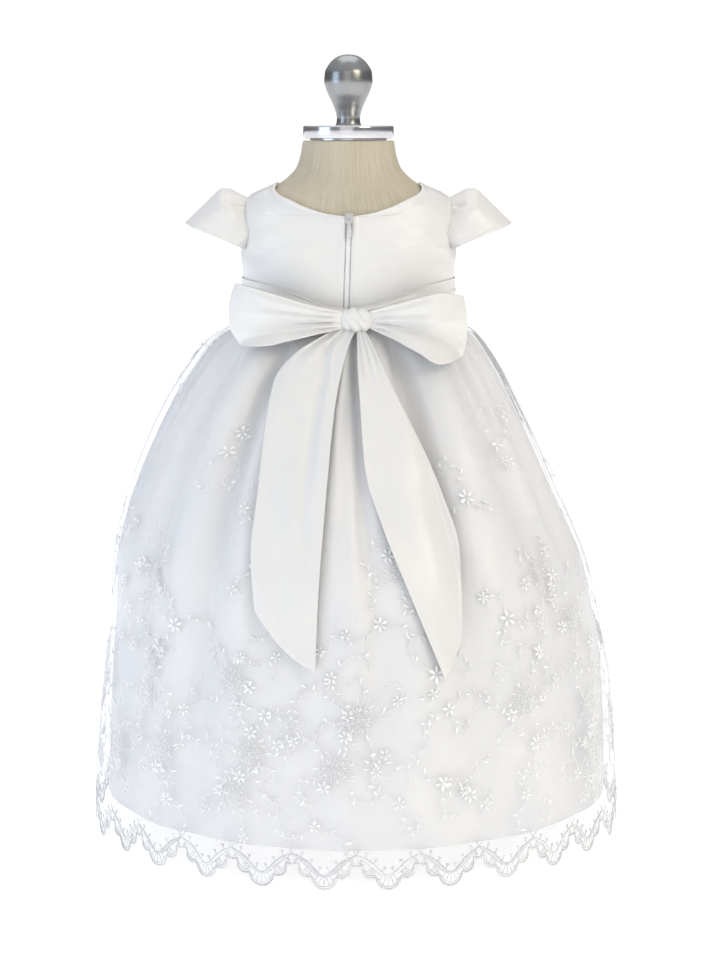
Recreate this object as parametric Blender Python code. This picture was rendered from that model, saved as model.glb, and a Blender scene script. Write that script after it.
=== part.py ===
"""A baby's white satin christening gown with a net overskirt, on a limbless linen dress form.

All sizes are in metres. The form's base stands on Z = 0 with its centre at the origin, the gown's
back faces -Y and its front faces +Y. An angle round the body is in degrees from the centre back,
positive towards +X, so 90 is the side seam at +X and 180 the centre front.
"""
import math

import bmesh
import bpy
import numpy as np
from mathutils import Matrix, Vector


class Table:
    """Rows of numbers under named columns, the first of which rises, read smoothly in between."""

    def __init__(self, columns, *rows):
        self.rows = dict(zip(columns.split(), np.array(rows, dtype=float).T))
        self.key = columns.split()[0]

    def at(self, column, value):
        """The column's value there, on a curve that never overshoots its rows."""
        x, y = self.rows[self.key], self.rows[column]
        value = np.clip(value, x[0], x[-1])
        step = np.diff(x)
        rise = np.diff(y) / step
        same_way = rise[:-1] * rise[1:] > 0
        middle = np.where(same_way, 2 * rise[:-1] * rise[1:] / np.where(same_way, rise[:-1] + rise[1:], 1), 0)
        slope = np.concatenate([rise[:1], middle, rise[-1:]])
        i = np.clip(np.searchsorted(x, value, side="right") - 1, 0, len(step) - 1)
        t = (value - x[i]) / step[i]
        return (
            (2 * t**3 - 3 * t**2 + 1) * y[i]
            + (t**3 - 2 * t**2 + t) * step[i] * slope[i]
            + (3 * t**2 - 2 * t**3) * y[i + 1]
            + (t**3 - t**2) * step[i] * slope[i + 1]
        )


# Cloth and the gaps between its layers
SATIN = 0.0012
NET = 0.0010
SEAM_GAP = 0.0003
LAYER_GAP = 0.0004
FORM_SINK = 0.0004  # the form's facets lie this far under its measured surface
BODICE_LIFT = LAYER_GAP + SATIN / 2  # middle of the bodice's cloth, out from the form
MIRROR = np.array([-1.0, 1.0, 1.0])

# The form, from its flat underside to the top of its neck
FORM = Table(
    "z half_width back front squareness",
    (0.300, 0.0930, 0.0700, 0.0740, 2.2),
    (0.330, 0.0960, 0.0745, 0.0780, 2.2),
    (0.370, 0.0945, 0.0740, 0.0770, 2.2),
    (0.410, 0.0910, 0.0700, 0.0740, 2.2),
    (0.452, 0.0890, 0.0665, 0.0668, 2.2),
    (0.480, 0.0900, 0.0660, 0.0680, 2.3),
    (0.508, 0.0912, 0.0630, 0.0650, 2.3),
    (0.530, 0.0912, 0.0580, 0.0600, 2.3),
    (0.545, 0.0900, 0.0530, 0.0545, 2.2),
    (0.553, 0.0840, 0.0495, 0.0505, 2.1),
    (0.562, 0.0640, 0.0465, 0.0465, 2.0),
    (0.570, 0.0525, 0.0440, 0.0435, 2.0),
    (0.578, 0.0455, 0.0420, 0.0410, 2.0),
    (0.590, 0.0415, 0.0400, 0.0395, 2.0),
    (0.6010, 0.0398, 0.0390, 0.0385, 2.0),
)
FORM_BOTTOM, FORM_TOP = 0.300, 0.6010

# The form's metal fittings
NECK_CAP = Table(  # turned profile, radius by height over the form's top
    "height radius",
    (0.0000, 0.0365), (0.0016, 0.0365), (0.0018, 0.0386), (0.0028, 0.0391),
    (0.0112, 0.0391), (0.0124, 0.0384),
)
KNOB = Table(  # turned profile, radius by height over the cap
    "height radius",
    (0.0000, 0.0112), (0.0020, 0.0104), (0.0060, 0.0100), (0.0120, 0.0112), (0.0200, 0.0143),
    (0.0290, 0.0186), (0.0375, 0.0208), (0.0450, 0.0203), (0.0530, 0.0160), (0.0585, 0.0095),
)
KNOB_HEIGHT = 0.0605
POLE_RADIUS = 0.0100
BASE = Table(  # turned profile, radius by height over the floor
    "height radius",
    (0.0000, 0.0925), (0.0020, 0.0940), (0.0080, 0.0940), (0.0110, 0.0905),
    (0.0130, 0.0180), (0.0300, 0.0155),
)

# The bodice
WAIST_Z = 0.4525
UNDERARM_Z, SHOULDER_Z = 0.5080, 0.5535
ARMHOLE_HALF_ANGLE = 15.0
BODICE_COLUMNS = 11
SHOULDER_ROWS = (0.5370, 0.5468, 0.5560, 0.5585, 0.5620, 0.5632)
BACK_NECK = Table("z angle", (0.5370, 0.0), (0.5385, 16.0), (0.5430, 32.0), (0.5500, 49.0), (0.5632, 79.0))
FRONT_NECK = Table("z angle", (0.5250, 0.0), (0.5275, 15.0), (0.5350, 32.0), (0.5460, 52.0), (0.5632, 79.0))
SIDE_GAP_ANGLE = 0.12  # from the side seam to either panel, about 0.2 mm
ZIP_SLOT_HALF_WIDTH = 0.0029
ZIP_LEAN = Table("z x", (0.4500, -0.0020), (0.5405, 0.0010))

# The sleeves, by the angle round the armhole: 0 at the shoulder's end, positive to the back
SLEEVE = Table(
    "angle hem_x hem_y hem_z puff",
    (0.0, 0.1420, 0.0000, 0.5300, 0.0160),
    (45.0, 0.1330, 0.0225, 0.5265, 0.0105),
    (85.0, 0.1120, 0.0330, 0.5185, 0.0045),
    (118.0, 0.1000, 0.0300, 0.5135, 0.0016),
    (150.0, 0.0952, 0.0185, 0.5105, 0.0004),
)
SLEEVE_PUFF = Table(  # how the puff rises and falls from the seam out to the hem
    "out share",
    (0.00, 0.00), (0.10, 0.45), (0.20, 0.74), (0.30, 0.92), (0.42, 1.00),
    (0.55, 0.81), (0.70, 0.54), (0.85, 0.27), (1.00, 0.00),
)
SLEEVE_LIFT = 0.0012  # of its seam from the form
SLEEVE_SHRINK = 0.87  # its seam ring against the armhole it is sewn in
SLEEVE_TUCKS = 7
SLEEVE_TUCK_DEPTH = 0.0010

# The skirts: the net's half width by height, its depth as a share of that, and the air under it
SKIRT = Table(
    "z half_width depth_share squareness air centre_x gather fold",
    (0.0360, 0.2330, 1.000, 2.00, 0.0125, 0.006, 0.0000, 0.0012),
    (0.1012, 0.2290, 1.000, 2.00, 0.0110, 0.007, 0.0000, 0.0018),
    (0.1467, 0.2240, 0.995, 2.00, 0.0090, 0.007, 0.0000, 0.0024),
    (0.1920, 0.2170, 0.985, 2.00, 0.0070, 0.006, 0.0000, 0.0034),
    (0.2372, 0.2110, 0.965, 2.00, 0.0060, 0.003, 0.0002, 0.0046),
    (0.2820, 0.1970, 0.940, 2.00, 0.0065, 0.000, 0.0006, 0.0054),
    (0.3265, 0.1810, 0.905, 2.00, 0.0085, -0.002, 0.0010, 0.0056),
    (0.3708, 0.1615, 0.858, 2.00, 0.0105, -0.002, 0.0014, 0.0050),
    (0.4148, 0.1360, 0.790, 2.05, 0.0120, 0.000, 0.0018, 0.0032),
    (0.4300, 0.1235, 0.765, 2.10, 0.0120, 0.000, 0.0017, 0.0018),
    (0.4400, 0.1080, 0.755, 2.15, 0.0095, 0.000, 0.0008, 0.0004),
    (0.4465, 0.0934, 0.760, 2.20, 0.0027, 0.000, 0.0000, 0.0000),
    (0.4520, 0.0930, 0.760, 2.20, 0.0025, 0.000, 0.0000, 0.0000),
)
GATHERS = 35
FOLDS = (  # the deep folds round the skirt: where each is, how wide, and its share of the depth
    (-172.0, 9.0, 0.8), (-151.0, 10.0, -0.9), (-131.0, 8.0, 0.9), (-113.0, 9.0, -0.8),
    (-92.0, 9.0, 1.0), (-74.0, 8.0, -0.7), (-57.0, 8.0, 0.8), (-38.0, 8.0, -1.1),
    (-20.0, 9.0, 0.7), (-7.0, 6.0, -0.2), (5.0, 6.0, -1.0), (17.0, 6.0, 0.9),
    (28.0, 6.0, -0.9), (44.0, 9.0, 0.9), (63.0, 8.0, -0.8), (80.0, 8.0, 0.6),
    (98.0, 9.0, -0.9), (117.0, 9.0, 0.9), (137.0, 9.0, -0.7), (155.0, 8.0, 0.8), (171.0, 7.0, -0.5),
)
LINING_ROWS = (0.0360, 0.1400, 0.2300, 0.3000, 0.3600, 0.4060, 0.4300, 0.4465, 0.4520)
LINING_COLUMNS = 37
NET_ROWS = (0.0420, 0.1400, 0.2300, 0.3000, 0.3600, 0.4060, 0.4300, 0.4465, 0.4520)
SCALLOPS = 28
SCALLOP_EDGE = (0.0250, 0.0152, 0.0056, 0.0056, 0.0152)  # the lace's height at five points a scallop

# The sash and its bow
SASH = Table(
    "z lift",
    (0.4472, 0.0061), (0.4550, 0.0056), (0.4680, 0.0034), (0.4840, 0.0029),
)
SASH_TOP = Table(  # the band's top edge, drawn down to the knot at the back
    "away z",
    (0.0, 0.4600), (18.0, 0.4640), (35.0, 0.4720), (52.0, 0.4790), (68.0, 0.4825), (90.0, 0.4840),
)
SASH_ROW_SHARES = (0.0, 0.22, 0.56, 1.0)
SASH_SEAM_ANGLES = (6.0, 90.0, 270.0)
KNOT_CENTRE = (0.0070, -0.0806, 0.4520)
KNOT_HALF = (0.0122, 0.0066, 0.0080)
LOOP_LENGTH = {"left": 0.0940, "right": 0.0810}
LOOP_EDGES = {
    "left": Table(
        "out top bottom",
        (0.00, 0.4570, 0.4470), (0.25, 0.4640, 0.4410), (0.50, 0.4705, 0.4360),
        (0.75, 0.4770, 0.4315), (1.00, 0.4822, 0.4300),
    ),
    "right": Table(
        "out top bottom",
        (0.00, 0.4580, 0.4460), (0.25, 0.4650, 0.4370), (0.50, 0.4705, 0.4270),
        (0.75, 0.4745, 0.4175), (1.00, 0.4715, 0.4205),
    ),
}
LOOP_FORM = Table(
    "out stand half_depth crease",
    (0.00, 0.0795, 0.0013, 0.0000), (0.15, 0.0800, 0.0042, 0.0008), (0.35, 0.0800, 0.0072, 0.0014),
    (0.60, 0.0780, 0.0080, 0.0013), (0.85, 0.0720, 0.0056, 0.0008), (0.95, 0.0680, 0.0030, 0.0004),
    (1.00, 0.0665, 0.0000, 0.0002),
)
LOOP_STEPS = (0.0, 0.12, 0.30, 0.50, 0.70, 0.86, 0.96)
LOOP_COLUMNS = 8
LOOP_CREASES = 1.5
REST_GAP = 0.0020  # of the bow from the net's highest folds, with half its own cloth
REST_BLEND = 0.0040
TAILS = {  # each edge of a tail by the distance down it
    "left": Table(
        "along left_x left_z right_x right_z",
        (0.00, 0.0000, 0.4433, 0.0065, 0.4433), (0.06, -0.0180, 0.4395, 0.0010, 0.4330),
        (0.14, -0.0420, 0.4270, -0.0050, 0.4130), (0.26, -0.0610, 0.4040, -0.0105, 0.3850),
        (0.40, -0.0680, 0.3680, -0.0150, 0.3440), (0.60, -0.0735, 0.3180, -0.0195, 0.2930),
        (0.80, -0.0785, 0.2700, -0.0235, 0.2400), (1.00, -0.0750, 0.2265, -0.0260, 0.1801),
    ),
    "right": Table(
        "along left_x left_z right_x right_z",
        (0.00, 0.0075, 0.4433, 0.0140, 0.4433), (0.06, 0.0078, 0.4330, 0.0200, 0.4330),
        (0.14, 0.0085, 0.4130, 0.0300, 0.4120), (0.26, 0.0105, 0.3800, 0.0440, 0.3850),
        (0.40, 0.0145, 0.3350, 0.0600, 0.3540), (0.60, 0.0280, 0.2930, 0.0780, 0.3140),
        (0.80, 0.0530, 0.2340, 0.0915, 0.2670), (1.00, 0.0785, 0.1734, 0.0925, 0.2060),
    ),
}
TAIL_TOP_STAND = 0.0790
TAIL_ROWS, TAIL_COLUMNS = 14, 6

# The zip, its slider measured in a frame on the form under it: X right, Y up, Z out
CHAIN_BOTTOM_Z, CHAIN_TOP_Z = 0.4530, 0.5345
CHAIN_HALF_WIDTH, CHAIN_LIFT, CHAIN_THICK = 0.0020, 0.0011, 0.0013
SLIDER_Z = 0.5355
SLIDER_UNDER, SLIDER_THICK = 0.0022, 0.0012
SLIDER_OUTLINE = (
    (-0.0028, -0.0046), (0.0028, -0.0046), (0.0038, 0.0012), (0.0034, 0.0046),
    (0.0000, 0.0038), (-0.0034, 0.0046), (-0.0038, 0.0012),
)
BAIL_HALF_WIDTH, BAIL_HOLE_HALF, BAIL_THICK, BAIL_SUNK = 0.0009, 0.0010, 0.0008, 0.0004
HINGE_UP, HINGE_OUT = 0.0006, SLIDER_UNDER + SLIDER_THICK + BAIL_HOLE_HALF
PULL_BAR_HALF, PULL_EYE_HALF_WIDTH, PULL_EYE_REACH = 0.0005, 0.0014, 0.0030
PULL_OUTLINE = (
    (-0.0022, 0.0005), (0.0022, 0.0005), (0.0024, -0.0034), (0.0018, -0.0070), (0.0022, -0.0140),
    (0.0024, -0.0170), (0.0014, -0.0185), (-0.0014, -0.0185), (-0.0024, -0.0170),
    (-0.0022, -0.0140), (-0.0018, -0.0070), (-0.0024, -0.0034),
)
CUTTER_SPARE = 0.0010


def material(name, colour, roughness, metallic=0.0, alpha=1.0):
    """A plain finish of one colour."""
    made = bpy.data.materials.new(name)
    made.use_nodes = True
    shader = made.node_tree.nodes["Principled BSDF"]
    shader.inputs["Base Color"].default_value = (*colour, 1.0)
    shader.inputs["Roughness"].default_value = roughness
    shader.inputs["Metallic"].default_value = metallic
    shader.inputs["Alpha"].default_value = alpha
    return made


def satin(name):
    return material(name, (0.93, 0.94, 0.95), 0.35)


def net(name):
    return material(name, (0.95, 0.96, 0.98), 0.6, alpha=0.5)


def linen(name):
    return material(name, (0.72, 0.66, 0.54), 0.85)


def metal(name):
    return material(name, (0.72, 0.72, 0.74), 0.15, metallic=1.0)


def add_object(name, mesh, finish):
    mesh.materials.append(finish(name + "_finish"))
    made = bpy.data.objects.new(name, mesh)
    bpy.context.scene.collection.objects.link(made)
    return made


def grid_faces(rows, columns, first):
    """Quads over a grid of points that are numbered row by row from first."""
    return [
        (first + r * columns + c, first + r * columns + c + 1,
         first + (r + 1) * columns + c + 1, first + (r + 1) * columns + c)
        for r in range(rows - 1)
        for c in range(columns - 1)
    ]


def cloth(name, thickness, grids, finish=satin):
    """A panel of cloth whose middle lies on the given grids of points, joined where they meet."""
    points, faces = [], []
    for grid in grids:
        rows, columns = grid.shape[:2]
        faces += grid_faces(rows, columns, len(points))
        points += [tuple(p) for p in grid.reshape(-1, 3)]
    mesh = bpy.data.meshes.new(name)
    mesh.from_pydata(points, [], faces)
    shape = bmesh.new()
    shape.from_mesh(mesh)
    bmesh.ops.remove_doubles(shape, verts=shape.verts, dist=0.00005)
    bmesh.ops.recalc_face_normals(shape, faces=shape.faces)
    shape.to_mesh(mesh)
    shape.free()
    mesh.shade_smooth()
    made = add_object(name, mesh, finish)
    wall = made.modifiers.new("wall", "SOLIDIFY")
    wall.thickness = thickness
    wall.offset = 0.0
    wall.use_rim = True
    wall.use_quality_normals = True
    return made


def solid(name, rings, finish, ends=True):
    """A closed body through rings of points, each a list of the same length."""
    count = len(rings[0])
    faces = [
        (r * count + c, r * count + (c + 1) % count, (r + 1) * count + (c + 1) % count, (r + 1) * count + c)
        for r in range(len(rings) - 1)
        for c in range(count)
    ]
    if ends:
        faces += [tuple(range(count)), tuple((len(rings) - 1) * count + c for c in range(count))]
    mesh = bpy.data.meshes.new(name)
    mesh.from_pydata([tuple(p) for ring in rings for p in ring], [], faces)
    close_up(mesh)
    return add_object(name, mesh, finish)


def close_up(mesh):
    """Points that meet made one, faces turned outwards and round faces shaded smooth."""
    shape = bmesh.new()
    shape.from_mesh(mesh)
    bmesh.ops.remove_doubles(shape, verts=shape.verts, dist=0.00001)
    bmesh.ops.recalc_face_normals(shape, faces=shape.faces)
    shape.to_mesh(mesh)
    shape.free()
    mesh.shade_smooth()
    mesh.set_sharp_from_angle(angle=math.radians(40))


def turned(name, profile, bottom, finish, tip=None, sides=32, x=0.0):
    """A body of revolution about a vertical line, with a flat top or a tip at that height."""
    turn = np.radians(np.arange(sides) * 360 / sides)
    rings = [
        np.stack([x + radius * np.cos(turn), radius * np.sin(turn), np.full(sides, bottom + height)], axis=1)
        for height, radius in zip(profile.rows["height"], profile.rows["radius"])
    ]
    if tip is not None:
        rings.append(np.tile([x, 0.0, bottom + tip], (sides, 1)))
    return solid(name, rings, finish)


# The form

def on_form(angle, z, lift=0.0):
    """Points on the form at angles and heights, moved out from its surface by the lift."""
    angle, z, lift = (np.asarray(v, float) for v in np.broadcast_arrays(angle, z, lift))

    def surface(angle, z):
        turn = np.radians(angle)
        sine, cosine = np.sin(turn), np.cos(turn)
        power = FORM.at("squareness", z)
        depth = np.where(cosine > 0, FORM.at("back", z), FORM.at("front", z))
        total = np.abs(sine / FORM.at("half_width", z)) ** power + np.abs(cosine / depth) ** power
        radius = total ** (-1 / power)
        return np.stack([radius * sine, -radius * cosine, z], axis=-1)

    across = surface(angle + 0.5, z) - surface(angle - 0.5, z)
    up = surface(angle, z + 0.0005) - surface(angle, z - 0.0005)
    out = np.cross(across, up)
    out /= np.linalg.norm(out, axis=-1, keepdims=True)
    return surface(angle, z) + out * lift[..., None]


def make_form():
    heights = (0.3000, 0.3050, 0.3300, 0.3700, 0.4100, 0.4520, 0.4800, 0.5080, 0.5308, 0.5370, 0.5421,
               0.5468, 0.5505, 0.5535, 0.5585, 0.5620, 0.5632, 0.5670, 0.5730, 0.5830, 0.6010)
    turns = np.arange(32) * 360 / 32
    rings = [on_form(turns, z, -FORM_SINK) for z in heights]
    rings[0] = rings[1] * (0.96, 0.96, 0) + (0, 0, FORM_BOTTOM)
    solid("form_torso", rings, linen)
    cap_bottom = FORM_TOP + SEAM_GAP
    turned("form_neck_cap", NECK_CAP, cap_bottom, metal, sides=32)
    knob_bottom = cap_bottom + NECK_CAP.rows["height"][-1] + SEAM_GAP
    turned("form_knob", KNOB, knob_bottom, metal, tip=KNOB_HEIGHT, sides=20)
    turned("form_base", BASE, 0.0, metal, sides=40)
    pole_bottom = BASE.rows["height"][-1] + SEAM_GAP
    pole_top = FORM_BOTTOM - SEAM_GAP
    pole = Table("height radius", (0.0, POLE_RADIUS), (pole_top - pole_bottom, POLE_RADIUS))
    turned("form_pole", pole, pole_bottom, metal, sides=16)


# The bodice

def bodice_quarter(neck, inner_edge, front=False):
    """Rows of points from the waist up, each from the centre line to the side seam or the armhole."""
    neck_z = neck.rows["z"][0]
    middle, half = (UNDERARM_Z + SHOULDER_Z) / 2, (SHOULDER_Z - UNDERARM_Z) / 2
    below = np.linspace(WAIST_Z, UNDERARM_Z, 3)[:-1]
    beside = middle - half * np.cos(np.linspace(0, math.pi, 7))
    rows = []
    for z in sorted({*below, *beside, neck_z, *SHOULDER_ROWS}):
        inner = inner_edge(z) if z <= neck_z else max(inner_edge(z), float(neck.at("angle", z)))
        hole = ARMHOLE_HALF_ANGLE * math.sqrt(max(0.0, 1 - ((z - middle) / half) ** 2))
        angles = np.linspace(inner, 90 - max(SIDE_GAP_ANGLE, hole), BODICE_COLUMNS)
        rows.append(on_form(180 - angles if front else angles, z, BODICE_LIFT))
    return np.array(rows)


def back_edge(side):
    """The angle of a back panel's edge beside the zip, by height."""
    return lambda z: math.degrees(
        (ZIP_SLOT_HALF_WIDTH + side * float(ZIP_LEAN.at("x", z))) / float(FORM.at("back", z))
    )


def make_bodice():
    cloth("bodice_back_right", SATIN, [bodice_quarter(BACK_NECK, back_edge(1))])
    cloth("bodice_back_left", SATIN, [bodice_quarter(BACK_NECK, back_edge(-1)) * MIRROR])
    front = bodice_quarter(FRONT_NECK, lambda z: 0.0, front=True)
    cloth("bodice_front", SATIN, [front, front * MIRROR])


def make_sleeves():
    """Cap sleeves: from a ring just inside the armhole out to the hem, puffed over the shoulder."""
    middle, half = (UNDERARM_Z + SHOULDER_Z) / 2, (SHOULDER_Z - UNDERARM_Z) / 2
    angles = np.linspace(-150, 150, 19)
    out = np.array([0.0, 0.20, 0.42, 0.60, 0.80, 1.0])
    rows = []
    for angle in angles:
        turn, side = math.radians(angle), math.copysign(1, angle)
        seam = on_form(
            90 - ARMHOLE_HALF_ANGLE * SLEEVE_SHRINK * math.sin(turn),
            middle + half * SLEEVE_SHRINK * math.cos(turn),
            SLEEVE_LIFT,
        )
        row = {key: float(SLEEVE.at(key, abs(angle))) for key in ("hem_x", "hem_y", "hem_z", "puff")}
        hem = np.array([row["hem_x"], -side * row["hem_y"], row["hem_z"]])
        tuck = SLEEVE_TUCK_DEPTH * math.cos(SLEEVE_TUCKS * turn) * (1 - out) ** 1.5 * out * 4
        raised = row["puff"] * SLEEVE_PUFF.at("share", out) + tuck
        way = np.array([0.0, -math.sin(turn), math.cos(turn)])
        rows.append(seam + out[:, None] * (hem - seam) + raised[:, None] * way)
    sheet = np.array(rows)
    cloth("sleeve_right", SATIN, [sheet])
    cloth("sleeve_left", SATIN, [sheet * MIRROR])


# The skirts

def fold_share(angle):
    """The deep folds at an angle, outwards positive."""
    total = np.zeros_like(angle)
    for centre, half_angle, share in FOLDS:
        away = (angle - centre + 180) % 360 - 180
        total += share * np.exp(-((away / half_angle) ** 2) * 1.6)
    return total


def on_skirt(angle, z, under=0.0):
    """Points on the net, or on the lining where under is 1."""
    angle, z = np.broadcast_arrays(np.asarray(angle, float), np.asarray(z, float))
    sine, cosine = np.sin(np.radians(angle)), np.cos(np.radians(angle))
    half_width = SKIRT.at("half_width", z) - under * SKIRT.at("air", z)
    depth = half_width * SKIRT.at("depth_share", z)
    power = SKIRT.at("squareness", z)
    radius = (np.abs(sine / half_width) ** power + np.abs(cosine / depth) ** power) ** (-1 / power)
    gather = SKIRT.at("gather", z) * np.cos(np.radians(angle * GATHERS))
    radius += gather * (1 - under) + SKIRT.at("fold", z) * fold_share(angle)
    return np.stack([SKIRT.at("centre_x", z) + radius * sine, -radius * cosine, z], axis=-1)


def half_turn(first, columns, z):
    """The angles of half a skirt's columns, its two ends drawn in by the gap at the side seams."""
    angles = np.linspace(first, first + 180, columns)
    gap = math.degrees(SEAM_GAP / float(SKIRT.at("half_width", z)))
    angles[0] += gap
    angles[-1] -= gap
    return angles


def make_skirts():
    """Each skirt in two halves, back and front, that meet at the side seams."""
    per_scallop = len(SCALLOP_EDGE)
    net_columns = SCALLOPS * per_scallop // 2 + 1
    for name, first in (("back", -90.0), ("front", 90.0)):
        rows = [on_skirt(half_turn(first, LINING_COLUMNS, z), z, under=1.0) for z in LINING_ROWS]
        cloth("underskirt_" + name, SATIN, [np.array(rows)])
        rows = [on_skirt(half_turn(first, net_columns, z), z) for z in NET_ROWS]
        lace = rows[0].copy()
        lace[:, 2] = [SCALLOP_EDGE[i % per_scallop] for i in range(net_columns)]
        cloth("overlay_" + name, NET, [np.array([lace, *rows])], finish=net)


# The sash and its bow

def make_sash():
    """The band in three lengths: the front, and one from each side seam to under the knot."""
    seam, right, left = SASH_SEAM_ANGLES
    spans = {
        "sash_front": (right + SIDE_GAP_ANGLE, left - SIDE_GAP_ANGLE, 25),
        "sash_back_right": (seam + SIDE_GAP_ANGLE, right - SIDE_GAP_ANGLE, 12),
        "sash_back_left": (left - 360 + SIDE_GAP_ANGLE, seam - SIDE_GAP_ANGLE, 14),
    }
    for name, (start, end, columns) in spans.items():
        angles = np.linspace(start, end, columns)
        bottom = SASH.rows["z"][0]
        rise = SASH_TOP.at("z", np.abs((angles + 180) % 360 - 180)) - bottom
        heights = [bottom + share * rise for share in SASH_ROW_SHARES]
        cloth(name, SATIN, [np.array([on_form(angles, z, SASH.at("lift", z)) for z in heights])])


def rest_stand(stand, x, z, spare):
    """How far behind the centre a part of the bow stands, so that it rests on the net's folds."""
    swell = SKIRT.at("gather", z) + SKIRT.at("fold", z)
    half_width = SKIRT.at("half_width", z) + swell
    depth = SKIRT.at("half_width", z) * SKIRT.at("depth_share", z) + swell
    power = SKIRT.at("squareness", z)
    share = np.clip(np.abs(x - SKIRT.at("centre_x", z)) / half_width, 0, 1)
    net_depth = depth * (1 - share**power) ** (1 / power) + spare + REST_GAP
    return (stand + net_depth + np.sqrt((stand - net_depth) ** 2 + REST_BLEND**2)) / 2


def make_knot():
    """The knot: a soft barrel of wound cloth, waisted where the strips cross."""
    turns = np.radians(np.arange(18) * 20.0)
    rings = []
    for lift in np.linspace(-1, 1, 11):
        ring_size = (1 - abs(lift) ** 2.6) ** 0.5 if abs(lift) < 1 else 0.0
        crease = 1 + 0.05 * np.cos(3 * turns + 2 * lift)
        x = KNOT_CENTRE[0] + KNOT_HALF[0] * lift * np.ones_like(turns)
        y = KNOT_CENTRE[1] + KNOT_HALF[1] * ring_size * np.cos(turns) * crease / 1.05
        z = KNOT_CENTRE[2] + KNOT_HALF[2] * ring_size * np.sin(turns) * crease / 1.05
        rings.append(np.stack([x, y, z], axis=1))
    solid("bow_knot", rings, satin, ends=False)


def make_loop(name, side):
    """A loop of the bow: out from the knot along the sash, round the fold and back in front."""
    start = KNOT_CENTRE[0] + side * (KNOT_HALF[0] + LAYER_GAP)
    across = np.linspace(0, 1, LOOP_COLUMNS)
    path = [(out, -1.0) for out in LOOP_STEPS] + [(1.0, 0.0)] + [(out, 1.0) for out in reversed(LOOP_STEPS)]
    rows = []
    for out, layer in path:
        top, bottom = (float(LOOP_EDGES[name].at(key, out)) for key in ("top", "bottom"))
        x = start + side * LOOP_LENGTH[name] * out
        z = bottom + (top - bottom) * across
        half_depth = float(LOOP_FORM.at("half_depth", out))
        crease = float(LOOP_FORM.at("crease", out)) * np.cos(2 * math.pi * LOOP_CREASES * across)
        stand = rest_stand(float(LOOP_FORM.at("stand", out)), x, z, half_depth + 0.0014)
        rows.append(np.stack([np.full_like(z, x), -(stand + layer * half_depth + crease), z], axis=1))
    cloth("bow_loop_" + name, SATIN, [np.array(rows)])


def make_tail(name):
    """A tail of the bow: from under the knot, spreading as it falls over the net, with a slanted end."""
    across = np.linspace(0, 1, TAIL_COLUMNS)
    rows = []
    for along in np.linspace(0, 1, TAIL_ROWS) ** 1.3:
        edge = {key: float(TAILS[name].at(key, along)) for key in ("left_x", "left_z", "right_x", "right_z")}
        x = edge["left_x"] + (edge["right_x"] - edge["left_x"]) * across
        z = edge["left_z"] + (edge["right_z"] - edge["left_z"]) * across
        rows.append(np.stack([x, -rest_stand(TAIL_TOP_STAND, x, z, 0.0), z], axis=1))
    cloth("bow_tail_" + name, SATIN, [np.array(rows)])


# The zip

def extruded(name, outline, low, high, finish):
    """A flat outline in X and Y carried from one height to another."""
    rings = [[(x, y, z) for x, y in outline] for z in (low, high)]
    return solid(name, rings, finish)


def boolean(base, other, operation):
    """Joins another shape to the base or cuts it away, and keeps it as a guide."""
    other.hide_render = True
    other.display_type = "WIRE"
    step = base.modifiers.new(other.name, "BOOLEAN")
    step.object = other
    step.operation = operation
    step.solver = "EXACT"


def make_zip():
    heights = np.linspace(CHAIN_BOTTOM_Z, CHAIN_TOP_Z, 11)
    rows = []
    for z in heights:
        x = float(ZIP_LEAN.at("x", z)) + np.array([-1.0, 0.0, 1.0]) * CHAIN_HALF_WIDTH
        rows.append(on_form(np.degrees(x / float(FORM.at("back", z))), z, CHAIN_LIFT))
    cloth("zip_chain", CHAIN_THICK, [np.array(rows)])

    seat_x = float(ZIP_LEAN.at("x", SLIDER_Z))
    seat_angle = math.degrees(seat_x / float(FORM.at("back", SLIDER_Z)))
    seat = Vector(on_form(seat_angle, SLIDER_Z))
    outward = (Vector(on_form(seat_angle, SLIDER_Z, 0.01)) - seat) * Vector((0, 1, 1))
    outward.normalize()
    right = Vector((1, 0, 0))
    mount = bpy.data.objects.new("zip_mount", None)
    bpy.context.scene.collection.objects.link(mount)
    turn = Matrix((right, outward.cross(right), outward)).transposed().to_4x4()
    mount.matrix_world = Matrix.Translation(seat) @ turn

    plate_top = SLIDER_UNDER + SLIDER_THICK
    slider = extruded("zip_slider", SLIDER_OUTLINE, SLIDER_UNDER, plate_top, metal)
    inner, outer = BAIL_HOLE_HALF, BAIL_HOLE_HALF + BAIL_THICK
    foot, ceiling, crown = plate_top - BAIL_SUNK, HINGE_OUT + inner, HINGE_OUT + outer
    arch = ((-outer, foot), (-inner, foot), (-inner, ceiling), (inner, ceiling),
            (inner, foot), (outer, foot), (outer, crown), (-outer, crown))
    rings = [[(x, HINGE_UP + up, out) for up, out in arch] for x in (-BAIL_HALF_WIDTH, BAIL_HALF_WIDTH)]
    bail = solid("zip_bail_guide", rings, metal)
    boolean(slider, bail, "UNION")

    pull = extruded("zip_pull", PULL_OUTLINE, -PULL_BAR_HALF, PULL_BAR_HALF, metal)
    eye = ((-PULL_EYE_HALF_WIDTH, -PULL_EYE_REACH), (PULL_EYE_HALF_WIDTH, -PULL_EYE_REACH),
           (PULL_EYE_HALF_WIDTH, -PULL_BAR_HALF), (-PULL_EYE_HALF_WIDTH, -PULL_BAR_HALF))
    window = extruded("zip_eye_guide", eye, -CUTTER_SPARE, CUTTER_SPARE, metal)
    boolean(pull, window, "DIFFERENCE")

    for piece in (slider, bail, pull, window):
        piece.parent = mount
    for piece in (pull, window):
        piece.location = (0, HINGE_UP, HINGE_OUT)


def main():
    for old in list(bpy.data.objects):
        bpy.data.objects.remove(old, do_unlink=True)
    make_form()
    make_bodice()
    make_sleeves()
    make_skirts()
    make_sash()
    make_knot()
    for name, side in (("left", -1), ("right", 1)):
        make_loop(name, side)
        make_tail(name)
    make_zip()


main()
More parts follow.
